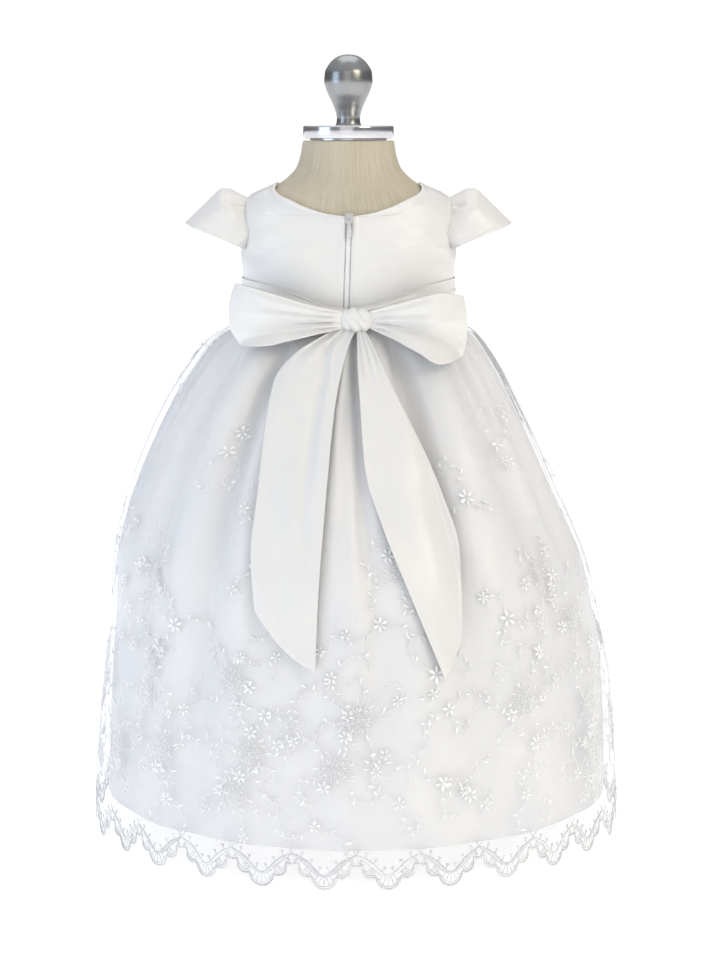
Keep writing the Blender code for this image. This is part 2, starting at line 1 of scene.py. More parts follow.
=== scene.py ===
"""The looks of a baby's christening gown on its dress form: satin, net, embroidery, lace and metal.

Sizes are in metres. The gown's back faces -Y, its front +Y, and the form's base stands on the floor.
An angle round the body is in degrees from the centre back, positive towards +X.
"""
from __future__ import annotations

import logging
import math
from dataclasses import dataclass, field
from enum import Enum
from functools import partial
from typing import Any, Callable, Sequence

import bpy
import numpy as np
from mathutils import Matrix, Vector


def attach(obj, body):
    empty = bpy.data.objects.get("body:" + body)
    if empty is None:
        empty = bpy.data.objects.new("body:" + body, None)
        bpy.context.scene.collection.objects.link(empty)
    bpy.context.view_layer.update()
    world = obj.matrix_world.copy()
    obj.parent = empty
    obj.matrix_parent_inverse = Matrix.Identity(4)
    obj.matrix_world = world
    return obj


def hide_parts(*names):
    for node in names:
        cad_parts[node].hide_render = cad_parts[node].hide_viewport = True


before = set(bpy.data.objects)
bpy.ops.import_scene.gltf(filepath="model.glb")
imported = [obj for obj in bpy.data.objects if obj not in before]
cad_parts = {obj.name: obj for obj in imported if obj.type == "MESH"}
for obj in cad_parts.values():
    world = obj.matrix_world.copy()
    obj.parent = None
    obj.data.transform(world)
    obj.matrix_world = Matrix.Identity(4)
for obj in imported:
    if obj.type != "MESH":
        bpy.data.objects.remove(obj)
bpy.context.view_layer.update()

LOG = logging.getLogger("gown")
BODY = "gown_on_form"
MIRROR = np.array([-1.0, 1.0, 1.0])
TURN = 2 * math.pi
CREASE = math.radians(50)  # edges of cloth that turn by more are rounded
OUTWARDS = partial(bpy.ops.mesh.normals_make_consistent, inside=False)
Floats = Any  # a number or an array of numbers


class Rows:
    """A short table of named columns, read smoothly between its rows without overshooting."""

    def __init__(self, columns: str, *rows: tuple[float, ...]) -> None:
        """Keeps the columns; the first one rises from row to row."""
        self.data = dict(zip(columns.split(), np.array(rows, dtype=float).T))
        self.key = columns.split()[0]

    def at(self, column: str, value: Floats) -> Floats:
        """The column's value.

        Args:
            column: which column to read.
            value: where to read it, on the first column.

        Returns:
            The value or values there.
        """
        x, y = self.data[self.key], self.data[column]
        value = np.clip(value, x[0], x[-1])
        step = np.diff(x)
        rise = np.diff(y) / step
        together = rise[:-1] * rise[1:] > 0
        total = np.where(together, rise[:-1] + rise[1:], 1.0)
        inner = np.where(together, 2 * rise[:-1] * rise[1:] / total, 0.0)
        slope = np.concatenate([rise[:1], inner, rise[-1:]])
        i = np.clip(np.searchsorted(x, value, side="right") - 1, 0, len(step) - 1)
        t = (value - x[i]) / step[i]
        start, end = (2 * t**3 - 3 * t**2 + 1) * y[i], (3 * t**2 - 2 * t**3) * y[i + 1]
        bend = (t**3 - 2 * t**2 + t) * slope[i] + (t**3 - t**2) * slope[i + 1]
        return start + end + bend * step[i]


def bump(value: Floats, centre: float, width: float) -> Floats:
    """A smooth hill of height 1 about a centre."""
    return np.exp(-(((value - centre) / width) ** 2))


def fade(value: Floats, start: float, end: float) -> Floats:
    """0 before start and 1 past end, eased, also where end lies below start."""
    t = np.clip((value - start) / (end - start), 0.0, 1.0)
    return t * t * (3 - 2 * t)


# Shaders


class Value:
    """A socket that takes part in Python sums, each of which adds a Math node."""

    def __init__(self, shader: "Shader", socket: bpy.types.NodeSocket) -> None:
        """Wraps an output socket of that shader."""
        self.shader, self.socket = shader, socket

    def _math(self, operation: str, *values: "Value | float", clamp: bool = False) -> "Value":
        """One Math node over the given values."""
        settings = {"operation": operation, "use_clamp": clamp}
        return self.shader.node("ShaderNodeMath", settings, dict(enumerate(values)))

    def __add__(self, other: "Value | float") -> "Value":
        """This plus the other."""
        return self._math("ADD", self, other)

    __radd__ = __add__

    def __mul__(self, other: "Value | float") -> "Value":
        """This times the other."""
        return self._math("MULTIPLY", self, other)

    __rmul__ = __mul__

    def __sub__(self, other: "Value | float") -> "Value":
        """This less the other."""
        return self._math("SUBTRACT", self, other)

    def __rsub__(self, other: "Value | float") -> "Value":
        """The other less this."""
        return self._math("SUBTRACT", other, self)

    def __pow__(self, other: "Value | float") -> "Value":
        """This raised to a power."""
        return self._math("POWER", self, other)

    def sine(self) -> "Value":
        """The sine of this."""
        return self._math("SINE", self)

    def most(self, other: "Value | float") -> "Value":
        """The greater of the two."""
        return self._math("MAXIMUM", self, other)

    def clamped(self) -> "Value":
        """This kept between 0 and 1."""
        return self._math("ADD", self, 0.0, clamp=True)


class Shader:
    """The nodes of a material or of the world, added one at a time."""

    def __init__(self, name: str, world: bool = False) -> None:
        """A new material with an empty Principled shader, or a new world with its Background."""
        self.owner = (bpy.data.worlds if world else bpy.data.materials).new(name)
        self.owner.use_nodes = True
        self.tree = self.owner.node_tree
        self.surface = self.tree.nodes["Background" if world else "Principled BSDF"]

    def node(self, kind: str, settings: dict[str, Any], inputs: dict[Any, Any], output: Any = 0) -> Value:
        """Adds any node.

        Args:
            kind: the node's type.
            settings: its properties, or under "stops" a ramp's (position, colour) pairs.
            inputs: values or links for its sockets, by name or number.
            output: which of its outputs to return.

        Returns:
            The output, ready for sums.
        """
        made = self.tree.nodes.new(kind)
        for key, value in settings.items():
            if key == "stops":
                ramp = made.color_ramp
                while len(ramp.elements) < len(value):
                    ramp.elements.new(0.5)
                for stop, (place, colour) in zip(ramp.elements, value):
                    stop.position, stop.color = place, colour
            else:
                setattr(made, key, value)
        for key, value in inputs.items():
            self.put(made.inputs[key], value)
        return Value(self, made.outputs[output])

    def put(self, socket: bpy.types.NodeSocket, value: Any) -> None:
        """Links a value to a socket, or sets the socket to a plain number or colour."""
        if isinstance(value, Value):
            self.tree.links.new(value.socket, socket)
        else:
            socket.default_value = value

    def set(self, **sockets: Any) -> None:
        """Sets or links the surface's sockets, whose names' spaces are written as underlines."""
        for key, value in sockets.items():
            self.put(self.surface.inputs[key.replace("_", " ")], value)

    def place(self) -> Value:
        """The place on the piece, in metres."""
        return self.node("ShaderNodeTexCoord", {}, {}, "Object")

    def part(self, vector: Value, axis: str) -> Value:
        """One part of a vector: X, Y or Z."""
        return self.node("ShaderNodeSeparateXYZ", {}, {"Vector": vector}, axis)

    def along(self, width: float = 1.0, length: float = 1.0) -> tuple["Value", "Value", "Value"]:
        """The cloth's own map in metres.

        Args:
            width: how much the map is multiplied across the cloth.
            length: the same along the cloth.

        Returns:
            The scaled map, and its two parts unscaled.
        """
        uv = self.node("ShaderNodeTexCoord", {}, {}, "UV")
        scaled = self.node("ShaderNodeMapping", {}, {"Vector": uv, "Scale": (width, length, 1.0)})
        return scaled, self.part(uv, "X"), self.part(uv, "Y")

    def noise(self, vector: Value, scale: float, detail: float = 3.0, rough: float = 0.5) -> Value:
        """Soft noise from 0 to 1 over a vector."""
        inputs = {"Vector": vector, "Scale": scale, "Detail": detail, "Roughness": rough}
        return self.node("ShaderNodeTexNoise", {"noise_dimensions": "3D"}, inputs, 0)

    def blend(self, factor: Any, first: Any, second: Any) -> Value:
        """One colour turned to another by a factor."""
        return self.node("ShaderNodeMix", {"data_type": "RGBA"}, {0: factor, 6: first, 7: second}, 2)

    def relief(self, height: Value, distance: float, strength: float = 1.0,
               onto: Value | None = None) -> Value:
        """A Bump node's normal, over an earlier one where it is given."""
        inputs: dict[Any, Any] = {"Height": height, "Distance": distance, "Strength": strength}
        if onto is not None:
            inputs["Normal"] = onto
        return self.node("ShaderNodeBump", {}, inputs)


def grey(level: float, warm: float = 0.0) -> tuple[float, float, float, float]:
    """A near-white colour, warmer where warm is above 0 and cooler below."""
    return (level * (1 + 0.4 * warm), level, level * (1 - warm), 1.0)


@dataclass(frozen=True)
class Satin:
    """Heavy white bridal satin: close weave, soft gloss and small crumples."""

    name: str = "satin"
    level: float = 0.745
    roughness: float = 0.36
    weave_pitch: float = 0.00042
    crumple: float = 0.0052
    crumples_a_metre: float = 24.0
    patches_a_metre: float = 13.0
    contrast: float = 0.025
    cool: float = -0.012
    warm: float = 0.034

    def build(self) -> bpy.types.Material:
        """The material."""
        shader = Shader(self.name)
        scaled, across, along = shader.along()
        crumples = shader.noise(scaled, self.crumples_a_metre)
        patches = shader.noise(scaled, self.patches_a_metre, 2.0)
        turns = TURN / self.weave_pitch
        weave = (across * turns).sine() * 0.5 + ((along * (turns * 0.62)) + (across * turns)).sine() * 0.5
        smooth = shader.relief(crumples, self.crumple, 0.5)
        normal = shader.relief(weave, 0.00002, 0.08, smooth)
        # Broad random patches, darker and cooler or lighter and warmer: partly the satin's own uneven tone,
        # partly painted sheen and shade.
        spread = ((patches - 0.5) * 2.0 + 0.5).clamped()
        colour = shader.blend(spread, grey(self.level - self.contrast, self.cool),
                              grey(self.level + self.contrast, self.warm))
        rough = crumples * 0.12 + (self.roughness - 0.06)
        shader.set(Base_Color=colour, Roughness=rough, Normal=normal, Sheen_Weight=0.12,
                   Sheen_Roughness=0.35, Specular_IOR_Level=0.55, Subsurface_Weight=0.04,
                   Subsurface_Scale=0.004)
        return shader.owner


@dataclass(frozen=True)
class Net:
    """Fine white net that lets most of the light through."""

    name: str = "net"
    level: float = 0.94
    tint: float = -0.065
    cover: float = 0.055
    thread_cover: float = 0.08
    streak_cover: float = 0.06
    bunched: float = 0.12
    half_width: float = 0.235
    mesh_pitch: float = 0.0011

    def build(self) -> bpy.types.Material:
        """The material."""
        shader = Shader(self.name)
        _, across, along = shader.along()
        turns = math.pi / self.mesh_pitch
        first = (across * turns + along * (turns * 0.6)).sine()
        second = (across * turns - along * (turns * 0.6)).sine()
        threads = (first * first).most(second * second)
        streaks = shader.noise(shader.along(60.0, 2.5)[0], 1.0, 3.0)
        side = shader.part(shader.place(), "X") * (1 / self.half_width)
        laid = (threads**6.0) * self.thread_cover + streaks * self.streak_cover
        cover = laid + ((side * side) ** 5.0) * self.bunched
        shader.set(Base_Color=grey(self.level, self.tint), Roughness=0.6,
                   Alpha=(cover + self.cover).clamped(), Normal=shader.relief(threads, 0.00008, 0.25))
        return shader.owner


@dataclass(frozen=True)
class Thread:
    """Glossy white embroidery thread laid in close satin stitches, with painted shade at the rim of each
    form and its top painted lighter.
    """

    name: str = "thread"
    shadow: float = 0.36
    light: float = 0.98
    stitch_pitch: float = 0.0005

    def build(self) -> bpy.types.Material:
        """The material."""
        shader = Shader(self.name)
        where = shader.place()
        stitches = (shader.part(where, "Z") * (TURN / self.stitch_pitch)).sine() * 0.5 + 0.5
        # The shade attribute is painted shade: dark at a form's rim or a cord's sides, light over its top.
        # The fine noise adds random speckle of the thread, partly painted glints.
        shade = shader.node("ShaderNodeAttribute", {"attribute_name": "shade"}, {}, "Fac")
        drift = shader.noise(where, 500.0, 2.0, 0.6)
        spread = (shade + (drift - 0.5) * 0.6).clamped()
        colour = shader.blend(spread, grey(self.shadow, -0.06), grey(self.light, -0.01))
        shader.set(Base_Color=colour, Roughness=0.27, Specular_IOR_Level=0.7,
                   Normal=shader.relief(stitches, 0.0001, 0.6))
        return shader.owner


@dataclass(frozen=True)
class Linen:
    """Natural linen stretched over the form, with slubs along its length."""

    name: str = "linen"
    rib_pitch: float = 0.0016
    dark: tuple[float, float, float, float] = (0.30, 0.255, 0.17, 1.0)
    light: tuple[float, float, float, float] = (0.74, 0.685, 0.555, 1.0)

    def build(self) -> bpy.types.Material:
        """The material."""
        shader = Shader(self.name)
        fine, across, _ = shader.along()
        slubs = shader.noise(shader.along(900.0, 22.0)[0], 1.0, 2.0, 0.5)
        ribs = (across * (TURN / self.rib_pitch)).sine() * 0.5 + 0.5
        weft = shader.noise(shader.along(40.0, 700.0)[0], 1.0, 2.0, 0.5)
        patches = shader.noise(fine, 22.0, 2.0)
        tone = (slubs * 0.7 + ribs * 0.25 + weft * 0.2 + patches * 0.25 - 0.2).clamped()
        colour = shader.blend(tone, self.dark, self.light)
        weave = slubs * 0.5 + ribs * 0.3 + weft * 0.2
        shader.set(Base_Color=colour, Roughness=0.82, Normal=shader.relief(weave, 0.0007, 0.5),
                   Sheen_Weight=0.15, Specular_IOR_Level=0.25)
        return shader.owner


@dataclass(frozen=True)
class Metal:
    """Polished or lacquered metal with fine turning marks."""

    name: str
    colour: tuple[float, float, float, float]
    roughness: float
    metallic: float
    marks: float = 0.0

    def build(self) -> bpy.types.Material:
        """The material."""
        shader = Shader(self.name)
        where = shader.place()
        stretched = shader.node("ShaderNodeMapping", {}, {"Vector": where, "Scale": (8.0, 8.0, 900.0)})
        marks = shader.noise(stretched, 1.0, 3.0)
        smears = shader.noise(where, 45.0, 3.0)
        rough = smears * 0.10 + marks * self.marks + (self.roughness - 0.05)
        shader.set(Base_Color=self.colour, Metallic=self.metallic, Roughness=rough,
                   Normal=shader.relief(marks, 0.00003, 0.15))
        return shader.owner


@dataclass(frozen=True)
class Tape:
    """The zip's woven tape and coil of white nylon."""

    name: str
    level: float
    pitch: float = 0.0006

    def build(self) -> bpy.types.Material:
        """The material."""
        shader = Shader(self.name)
        ribs = (shader.part(shader.place(), "Z") * (TURN / self.pitch)).sine() * 0.5 + 0.5
        colour = shader.blend(ribs, grey(self.level - 0.06), grey(self.level))
        shader.set(Base_Color=colour, Roughness=0.5, Normal=shader.relief(ribs, 0.0001, 0.4))
        return shader.owner


class Finish(Enum):
    """The finishes that the pieces take, each with its slot in the record."""

    SATIN = "satin"
    NET = "net"
    THREAD = "thread"
    LINEN = "linen"
    STEEL = "steel"
    CHROME = "chrome"
    ZIP_METAL = "zip_metal"
    ZIP = "zip"

    @property
    def slot(self) -> str:
        """The record's material slot."""
        return {Finish.THREAD: "satin", Finish.CHROME: "steel"}.get(self, self.value)


@dataclass
class Wardrobe:
    """Every finish, made once and shared."""

    made: dict[Finish, bpy.types.Material] = field(default_factory=dict)

    def get(self, finish: Finish) -> bpy.types.Material:
        """The finish's material, made when it is first asked for."""
        makers: dict[Finish, Callable[[], bpy.types.Material]] = {
            Finish.SATIN: Satin().build,
            Finish.NET: Net().build,
            Finish.THREAD: Thread().build,
            Finish.LINEN: Linen().build,
            Finish.STEEL: Metal("steel", (0.30, 0.305, 0.31, 1.0), 0.22, 1.0, 0.12).build,
            Finish.CHROME: Metal("chrome", (0.64, 0.64, 0.66, 1.0), 0.12, 1.0, 0.10).build,
            Finish.ZIP_METAL: Metal("zip_metal", (0.72, 0.72, 0.73, 1.0), 0.24, 0.85).build,
            Finish.ZIP: Tape("zip", 0.90).build,
        }
        if finish not in self.made:
            self.made[finish] = makers[finish]()
        return self.made[finish]


# Shared ways of making a piece


@dataclass
class Workroom:
    """Makes pieces, dresses them and ties them to the frame."""

    wardrobe: Wardrobe = field(default_factory=Wardrobe)

    def clear(self) -> None:
        """Leaves edit mode and deselects everything."""
        if bpy.context.object and bpy.context.object.mode != "OBJECT":
            bpy.ops.object.mode_set(mode="OBJECT")
        bpy.ops.object.select_all(action="DESELECT")

    def lay(self, name: str, points: np.ndarray) -> bpy.types.Object:
        """Lays a new grid of cloth through points, with a map of it in metres.

        Args:
            name: the piece's name.
            points: rows by columns by three, seen with its columns running to the right.

        Returns:
            The piece, still without thickness.
        """
        rows, columns = points.shape[:2]
        self.clear()
        bpy.ops.mesh.primitive_grid_add(x_subdivisions=columns - 1, y_subdivisions=rows - 1, size=1.0)
        piece = bpy.context.object
        piece.name = name
        mesh = piece.data
        mesh.name = name
        mesh.vertices.foreach_set("co", np.ascontiguousarray(points, dtype=np.float32).ravel())
        width = self.measure(points)[0]
        steps = np.linalg.norm(np.diff(points, axis=0), axis=2).mean(axis=1)
        along = np.concatenate([[0], np.cumsum(steps)])
        across = np.arange(columns) / (columns - 1) * width
        self.spread(mesh, np.stack([np.tile(across, rows), np.repeat(along, columns)], axis=1))
        mesh.update()
        return piece

    @staticmethod
    def spread(mesh: bpy.types.Mesh, places: np.ndarray) -> None:
        """Sets a mesh's map from each point's place on it."""
        corners = np.empty(len(mesh.loops), dtype=np.int32)
        mesh.loops.foreach_get("vertex_index", corners)
        mesh.uv_layers[0].data.foreach_set("uv", places[corners].astype(np.float32).ravel())

    @staticmethod
    def measure(points: np.ndarray) -> tuple[float, float, float]:
        """The longest row, the longest column and the area of a grid of points."""
        across = np.diff(points, axis=1)
        up = np.diff(points, axis=0)
        area = np.linalg.norm(np.cross(across[:-1], up[:, :-1]), axis=2).sum()
        width = np.linalg.norm(across, axis=2).sum(axis=1).max()
        length = np.linalg.norm(up, axis=2).sum(axis=0).max()
        return float(width), float(length), float(area)

    def take_up(self, piece: bpy.types.Object) -> None:
        """Selects one piece alone and makes it the active one."""
        self.clear()
        piece.select_set(True)
        bpy.context.view_layer.objects.active = piece

    def edit(self, *steps: Callable[[], Any]) -> None:
        """Runs mesh operators on all of the active piece."""
        bpy.ops.object.mode_set(mode="EDIT")
        for step in steps:
            bpy.ops.mesh.select_all(action="SELECT")
            step()
        bpy.ops.object.mode_set(mode="OBJECT")

    def apply(self, piece: bpy.types.Object, kind: str, **settings: Any) -> None:
        """Adds a modifier with settings and applies it."""
        self.take_up(piece)
        step = piece.modifiers.new(kind.lower(), kind)
        for key, value in settings.items():
            setattr(step, key, value)
        bpy.ops.object.modifier_apply(modifier=step.name)

    def join(self, name: str, pieces: Sequence[bpy.types.Object], merge: float = 0.0) -> bpy.types.Object:
        """Joins pieces into one, and where merge is given makes points within it one."""
        self.clear()
        for piece in pieces:
            piece.select_set(True)
        bpy.context.view_layer.objects.active = pieces[0]
        if len(pieces) > 1:
            bpy.ops.object.join()
        joined = bpy.context.object
        joined.name = joined.data.name = name
        if merge:
            self.edit(partial(bpy.ops.mesh.remove_doubles, threshold=merge), OUTWARDS)
        return joined

    def finish(self, piece: bpy.types.Object, finish: Finish, body: str = BODY, sharp: float = 42.0) -> None:
        """Shades a piece smooth, dresses it and makes it ride on a body."""
        self.take_up(piece)
        bpy.ops.object.shade_smooth_by_angle(angle=math.radians(sharp))
        piece.data.materials.clear()
        piece.data.materials.append(self.wardrobe.get(finish))
        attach(piece, body)
        finish.slot
        LOG.info("%s: %d faces", piece.name, len(piece.data.polygons))

    def cloth(
        self,
        name: str,
        grids: Sequence[np.ndarray],
        nodes: Sequence[str],
        wall: float,
        finish: Finish = Finish.SATIN,
        rounded: float = 0.00025,
    ) -> None:
        """A sheet of cloth in place of its solid.

        Args:
            name: the piece's name.
            grids: the grids of points through its middle, joined where they meet.
            nodes: the solids that it stands for.
            wall: its thickness.
            finish: its finish.
            rounded: how far its edges are rounded.
        """
        laid = [self.lay(f"{name}_{i}", grid) for i, grid in enumerate(grids)]
        piece = self.join(name, laid, merge=0.00002 if len(laid) > 1 else 0.0)
        self.apply(piece, "SOLIDIFY", thickness=wall, offset=0.0, use_rim=True, use_quality_normals=True)
        if rounded:
            self.apply(piece, "BEVEL", width=rounded, segments=2, limit_method="ANGLE", angle_limit=CREASE)
        self.finish(piece, finish)
        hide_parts(*nodes)

    def copy_of(self, node: str, name: str, bevel: float) -> bpy.types.Object:
        """A copy of a solid with its flat faces whole and its edges rounded."""
        piece = bpy.data.objects.new(name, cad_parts[node].data.copy())
        bpy.context.scene.collection.objects.link(piece)
        self.take_up(piece)
        self.edit(partial(bpy.ops.mesh.remove_doubles, threshold=0.00001),
                  partial(bpy.ops.mesh.dissolve_limited, angle_limit=math.radians(2)))
        self.apply(piece, "BEVEL", width=bevel, segments=3, limit_method="ANGLE",
                   angle_limit=math.radians(30))
        return piece

    def turned(self, name: str, profile: Sequence[tuple[float, float]], steps: int) -> bpy.types.Object:
        """A body turned about the form's centre line.

        Args:
            name: the piece's name.
            profile: (radius, height) pairs from the bottom's centre to the top's centre.
            steps: the facets round it.

        Returns:
            The closed body.
        """
        self.clear()
        bpy.ops.mesh.primitive_circle_add(vertices=len(profile) + 1, radius=1.0, fill_type="NOTHING")
        piece = bpy.context.object
        piece.name = piece.data.name = name
        mesh = piece.data
        mesh.clear_geometry()
        mesh.from_pydata([(radius, 0.0, height) for radius, height in profile],
                         [(i, i + 1) for i in range(len(profile) - 1)], [])
        self.edit(partial(bpy.ops.mesh.spin, steps=steps, angle=TURN, center=(0, 0, 0), axis=(0, 0, 1)),
                  partial(bpy.ops.mesh.remove_doubles, threshold=0.000002), OUTWARDS)
        return piece


# The dress form


# How far the zip leans sideways, by height
ZIP_LEAN = Rows("z x", (0.4500, -0.0020), (0.5405, 0.0010))


@dataclass
class FormSurface:
    """The dress form's surface, which the bodice, the sash and the zip follow."""

    rows: Rows = Rows(
        "z half_width back front squareness",
        (0.300, 0.0930, 0.0700, 0.0740, 2.2), (0.330, 0.0960, 0.0745, 0.0780, 2.2),
        (0.370, 0.0945, 0.0740, 0.0770, 2.2), (0.410, 0.0910, 0.0700, 0.0740, 2.2),
        (0.452, 0.0890, 0.0665, 0.0668, 2.2), (0.480, 0.0900, 0.0660, 0.0680, 2.3),
        (0.508, 0.0912, 0.0630, 0.0650, 2.3), (0.530, 0.0912, 0.0580, 0.0600, 2.3),
        (0.545, 0.0900, 0.0530, 0.0545, 2.2), (0.553, 0.0840, 0.0495, 0.0505, 2.1),
        (0.562, 0.0640, 0.0465, 0.0465, 2.0), (0.570, 0.0525, 0.0440, 0.0435, 2.0),
        (0.578, 0.0455, 0.0420, 0.0410, 2.0), (0.590, 0.0415, 0.0400, 0.0395, 2.0),
        (0.601, 0.0398, 0.0390, 0.0385, 2.0),
    )

    def bare(self, angle: Floats, z: Floats) -> np.ndarray:
        """Points on the linen itself."""
        sine, cosine = np.sin(np.radians(angle)), np.cos(np.radians(angle))
        power = self.rows.at("squareness", z)
        depth = np.where(cosine > 0, self.rows.at("back", z), self.rows.at("front", z))
        total = np.abs(sine / self.rows.at("half_width", z)) ** power + np.abs(cosine / depth) ** power
        radius = total ** (-1 / power)
        return np.stack([radius * sine, -radius * cosine, z], axis=-1)

    def at(self, angle: Floats, z: Floats, lift: Floats = 0.0) -> np.ndarray:
        """Points at angles and heights.

        Args:
            angle: round the form, in degrees.
            z: the height.
            lift: how far out from the linen.

        Returns:
            The points, with a last axis of three.
        """
        angle, z, lift = (np.asarray(v, dtype=float) for v in np.broadcast_arrays(angle, z, lift))
        across = self.bare(angle + 0.5, z) - self.bare(angle - 0.5, z)
        up = self.bare(angle, z + 0.0005) - self.bare(angle, z - 0.0005)
        out = np.cross(across, up)
        out /= np.linalg.norm(out, axis=-1, keepdims=True)
        return self.bare(angle, z) + out * lift[..., None]


@dataclass
class DressForm:
    """The form that the gown rests on: torso, neck cap, knob, pole and base."""

    surface: FormSurface
    sink: float = 0.0003
    bottom: float = 0.3000
    top: float = 0.6010
    joint: float = 0.0003
    edge: float = 0.0012
    cap: tuple[tuple[float, float], ...] = (
        (0.0325, 0.0000), (0.0330, 0.0002), (0.0330, 0.0015), (0.0384, 0.0016), (0.0389, 0.0019),
        (0.0391, 0.0024), (0.0391, 0.0108), (0.0390, 0.0115), (0.0387, 0.0120), (0.0382, 0.0123),
        (0.0372, 0.0124), (0.0150, 0.0124),
    )
    knob: Rows = Rows(
        "height radius",
        (0.0000, 0.0112), (0.0020, 0.0104), (0.0060, 0.0100), (0.0120, 0.0112), (0.0200, 0.0143),
        (0.0290, 0.0186), (0.0375, 0.0208), (0.0450, 0.0203), (0.0530, 0.0160), (0.0585, 0.0095),
        (0.0600, 0.0052), (0.0605, 0.0008),
    )
    base: tuple[tuple[float, float], ...] = (
        (0.0900, 0.0000), (0.0925, 0.0000), (0.0937, 0.0010), (0.0940, 0.0025), (0.0940, 0.0075),
        (0.0935, 0.0092), (0.0920, 0.0104), (0.0900, 0.0111), (0.0700, 0.0116), (0.0400, 0.0120),
        (0.0230, 0.0125), (0.0190, 0.0138), (0.0178, 0.0165), (0.0160, 0.0280), (0.0155, 0.0292),
        (0.0148, 0.0300),
    )
    pole_end: tuple[tuple[float, float], ...] = ((0.0094, 0.0), (0.0100, 0.0006))

    def build(self, room: Workroom) -> None:
        """Makes the form's five pieces."""
        self.torso(room)
        cap_bottom = self.top + self.joint
        cap = [(r, cap_bottom + h) for r, h in self.cap]
        knob_bottom = cap_bottom + self.cap[-1][1] + self.joint
        heights = self.knob.data["height"][-1] * (1 - np.cos(np.linspace(0, math.pi, 56))) / 2
        knob = [(float(self.knob.at("radius", h)), knob_bottom + float(h)) for h in heights]
        pole_bottom, pole_top = self.base[-1][1] + self.joint, self.bottom - self.joint
        pole = [(r, pole_bottom + h) for r, h in self.pole_end]
        pole += [(r, pole_top - h) for r, h in reversed(self.pole_end)]
        for name, node, profile, steps, finish in (
            ("neck_cap", "form_neck_cap", cap, 128, Finish.CHROME),
            ("neck_knob", "form_knob", knob, 96, Finish.STEEL),
            ("stand_base", "form_base", self.base, 128, Finish.CHROME),
            ("stand_pole", "form_pole", pole, 48, Finish.CHROME),
        ):
            piece = room.turned(name, profile, steps)
            room.finish(piece, finish)
            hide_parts(node)

    def torso(self, room: Workroom) -> None:
        """The linen-covered torso, its edges rounded over at the bottom and the neck."""
        quarter = np.radians(np.linspace(0, 90, 8))
        curl = self.edge * (1 - np.sin(quarter))
        middle = np.linspace(self.bottom + self.edge, self.top - self.edge, 122)[1:-1]
        heights = np.concatenate([
            self.bottom + self.edge * (1 - np.cos(quarter)), middle,
            self.top - self.edge * (1 - np.cos(quarter[::-1]))])
        inwards = np.concatenate([curl, np.zeros(len(middle)), curl[::-1]])
        turns = np.linspace(-180, 180, 145)
        grid = self.surface.at(turns[None, :], heights[:, None], -self.sink - inwards[:, None])
        grid[..., 2] = heights[:, None]
        piece = room.lay("torso", grid)
        room.edit(partial(bpy.ops.mesh.remove_doubles, threshold=0.00001),
                  partial(bpy.ops.mesh.fill_holes, sides=0), OUTWARDS)
        room.finish(piece, Finish.LINEN)
        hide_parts("form_torso")


# The bodice and its sleeves


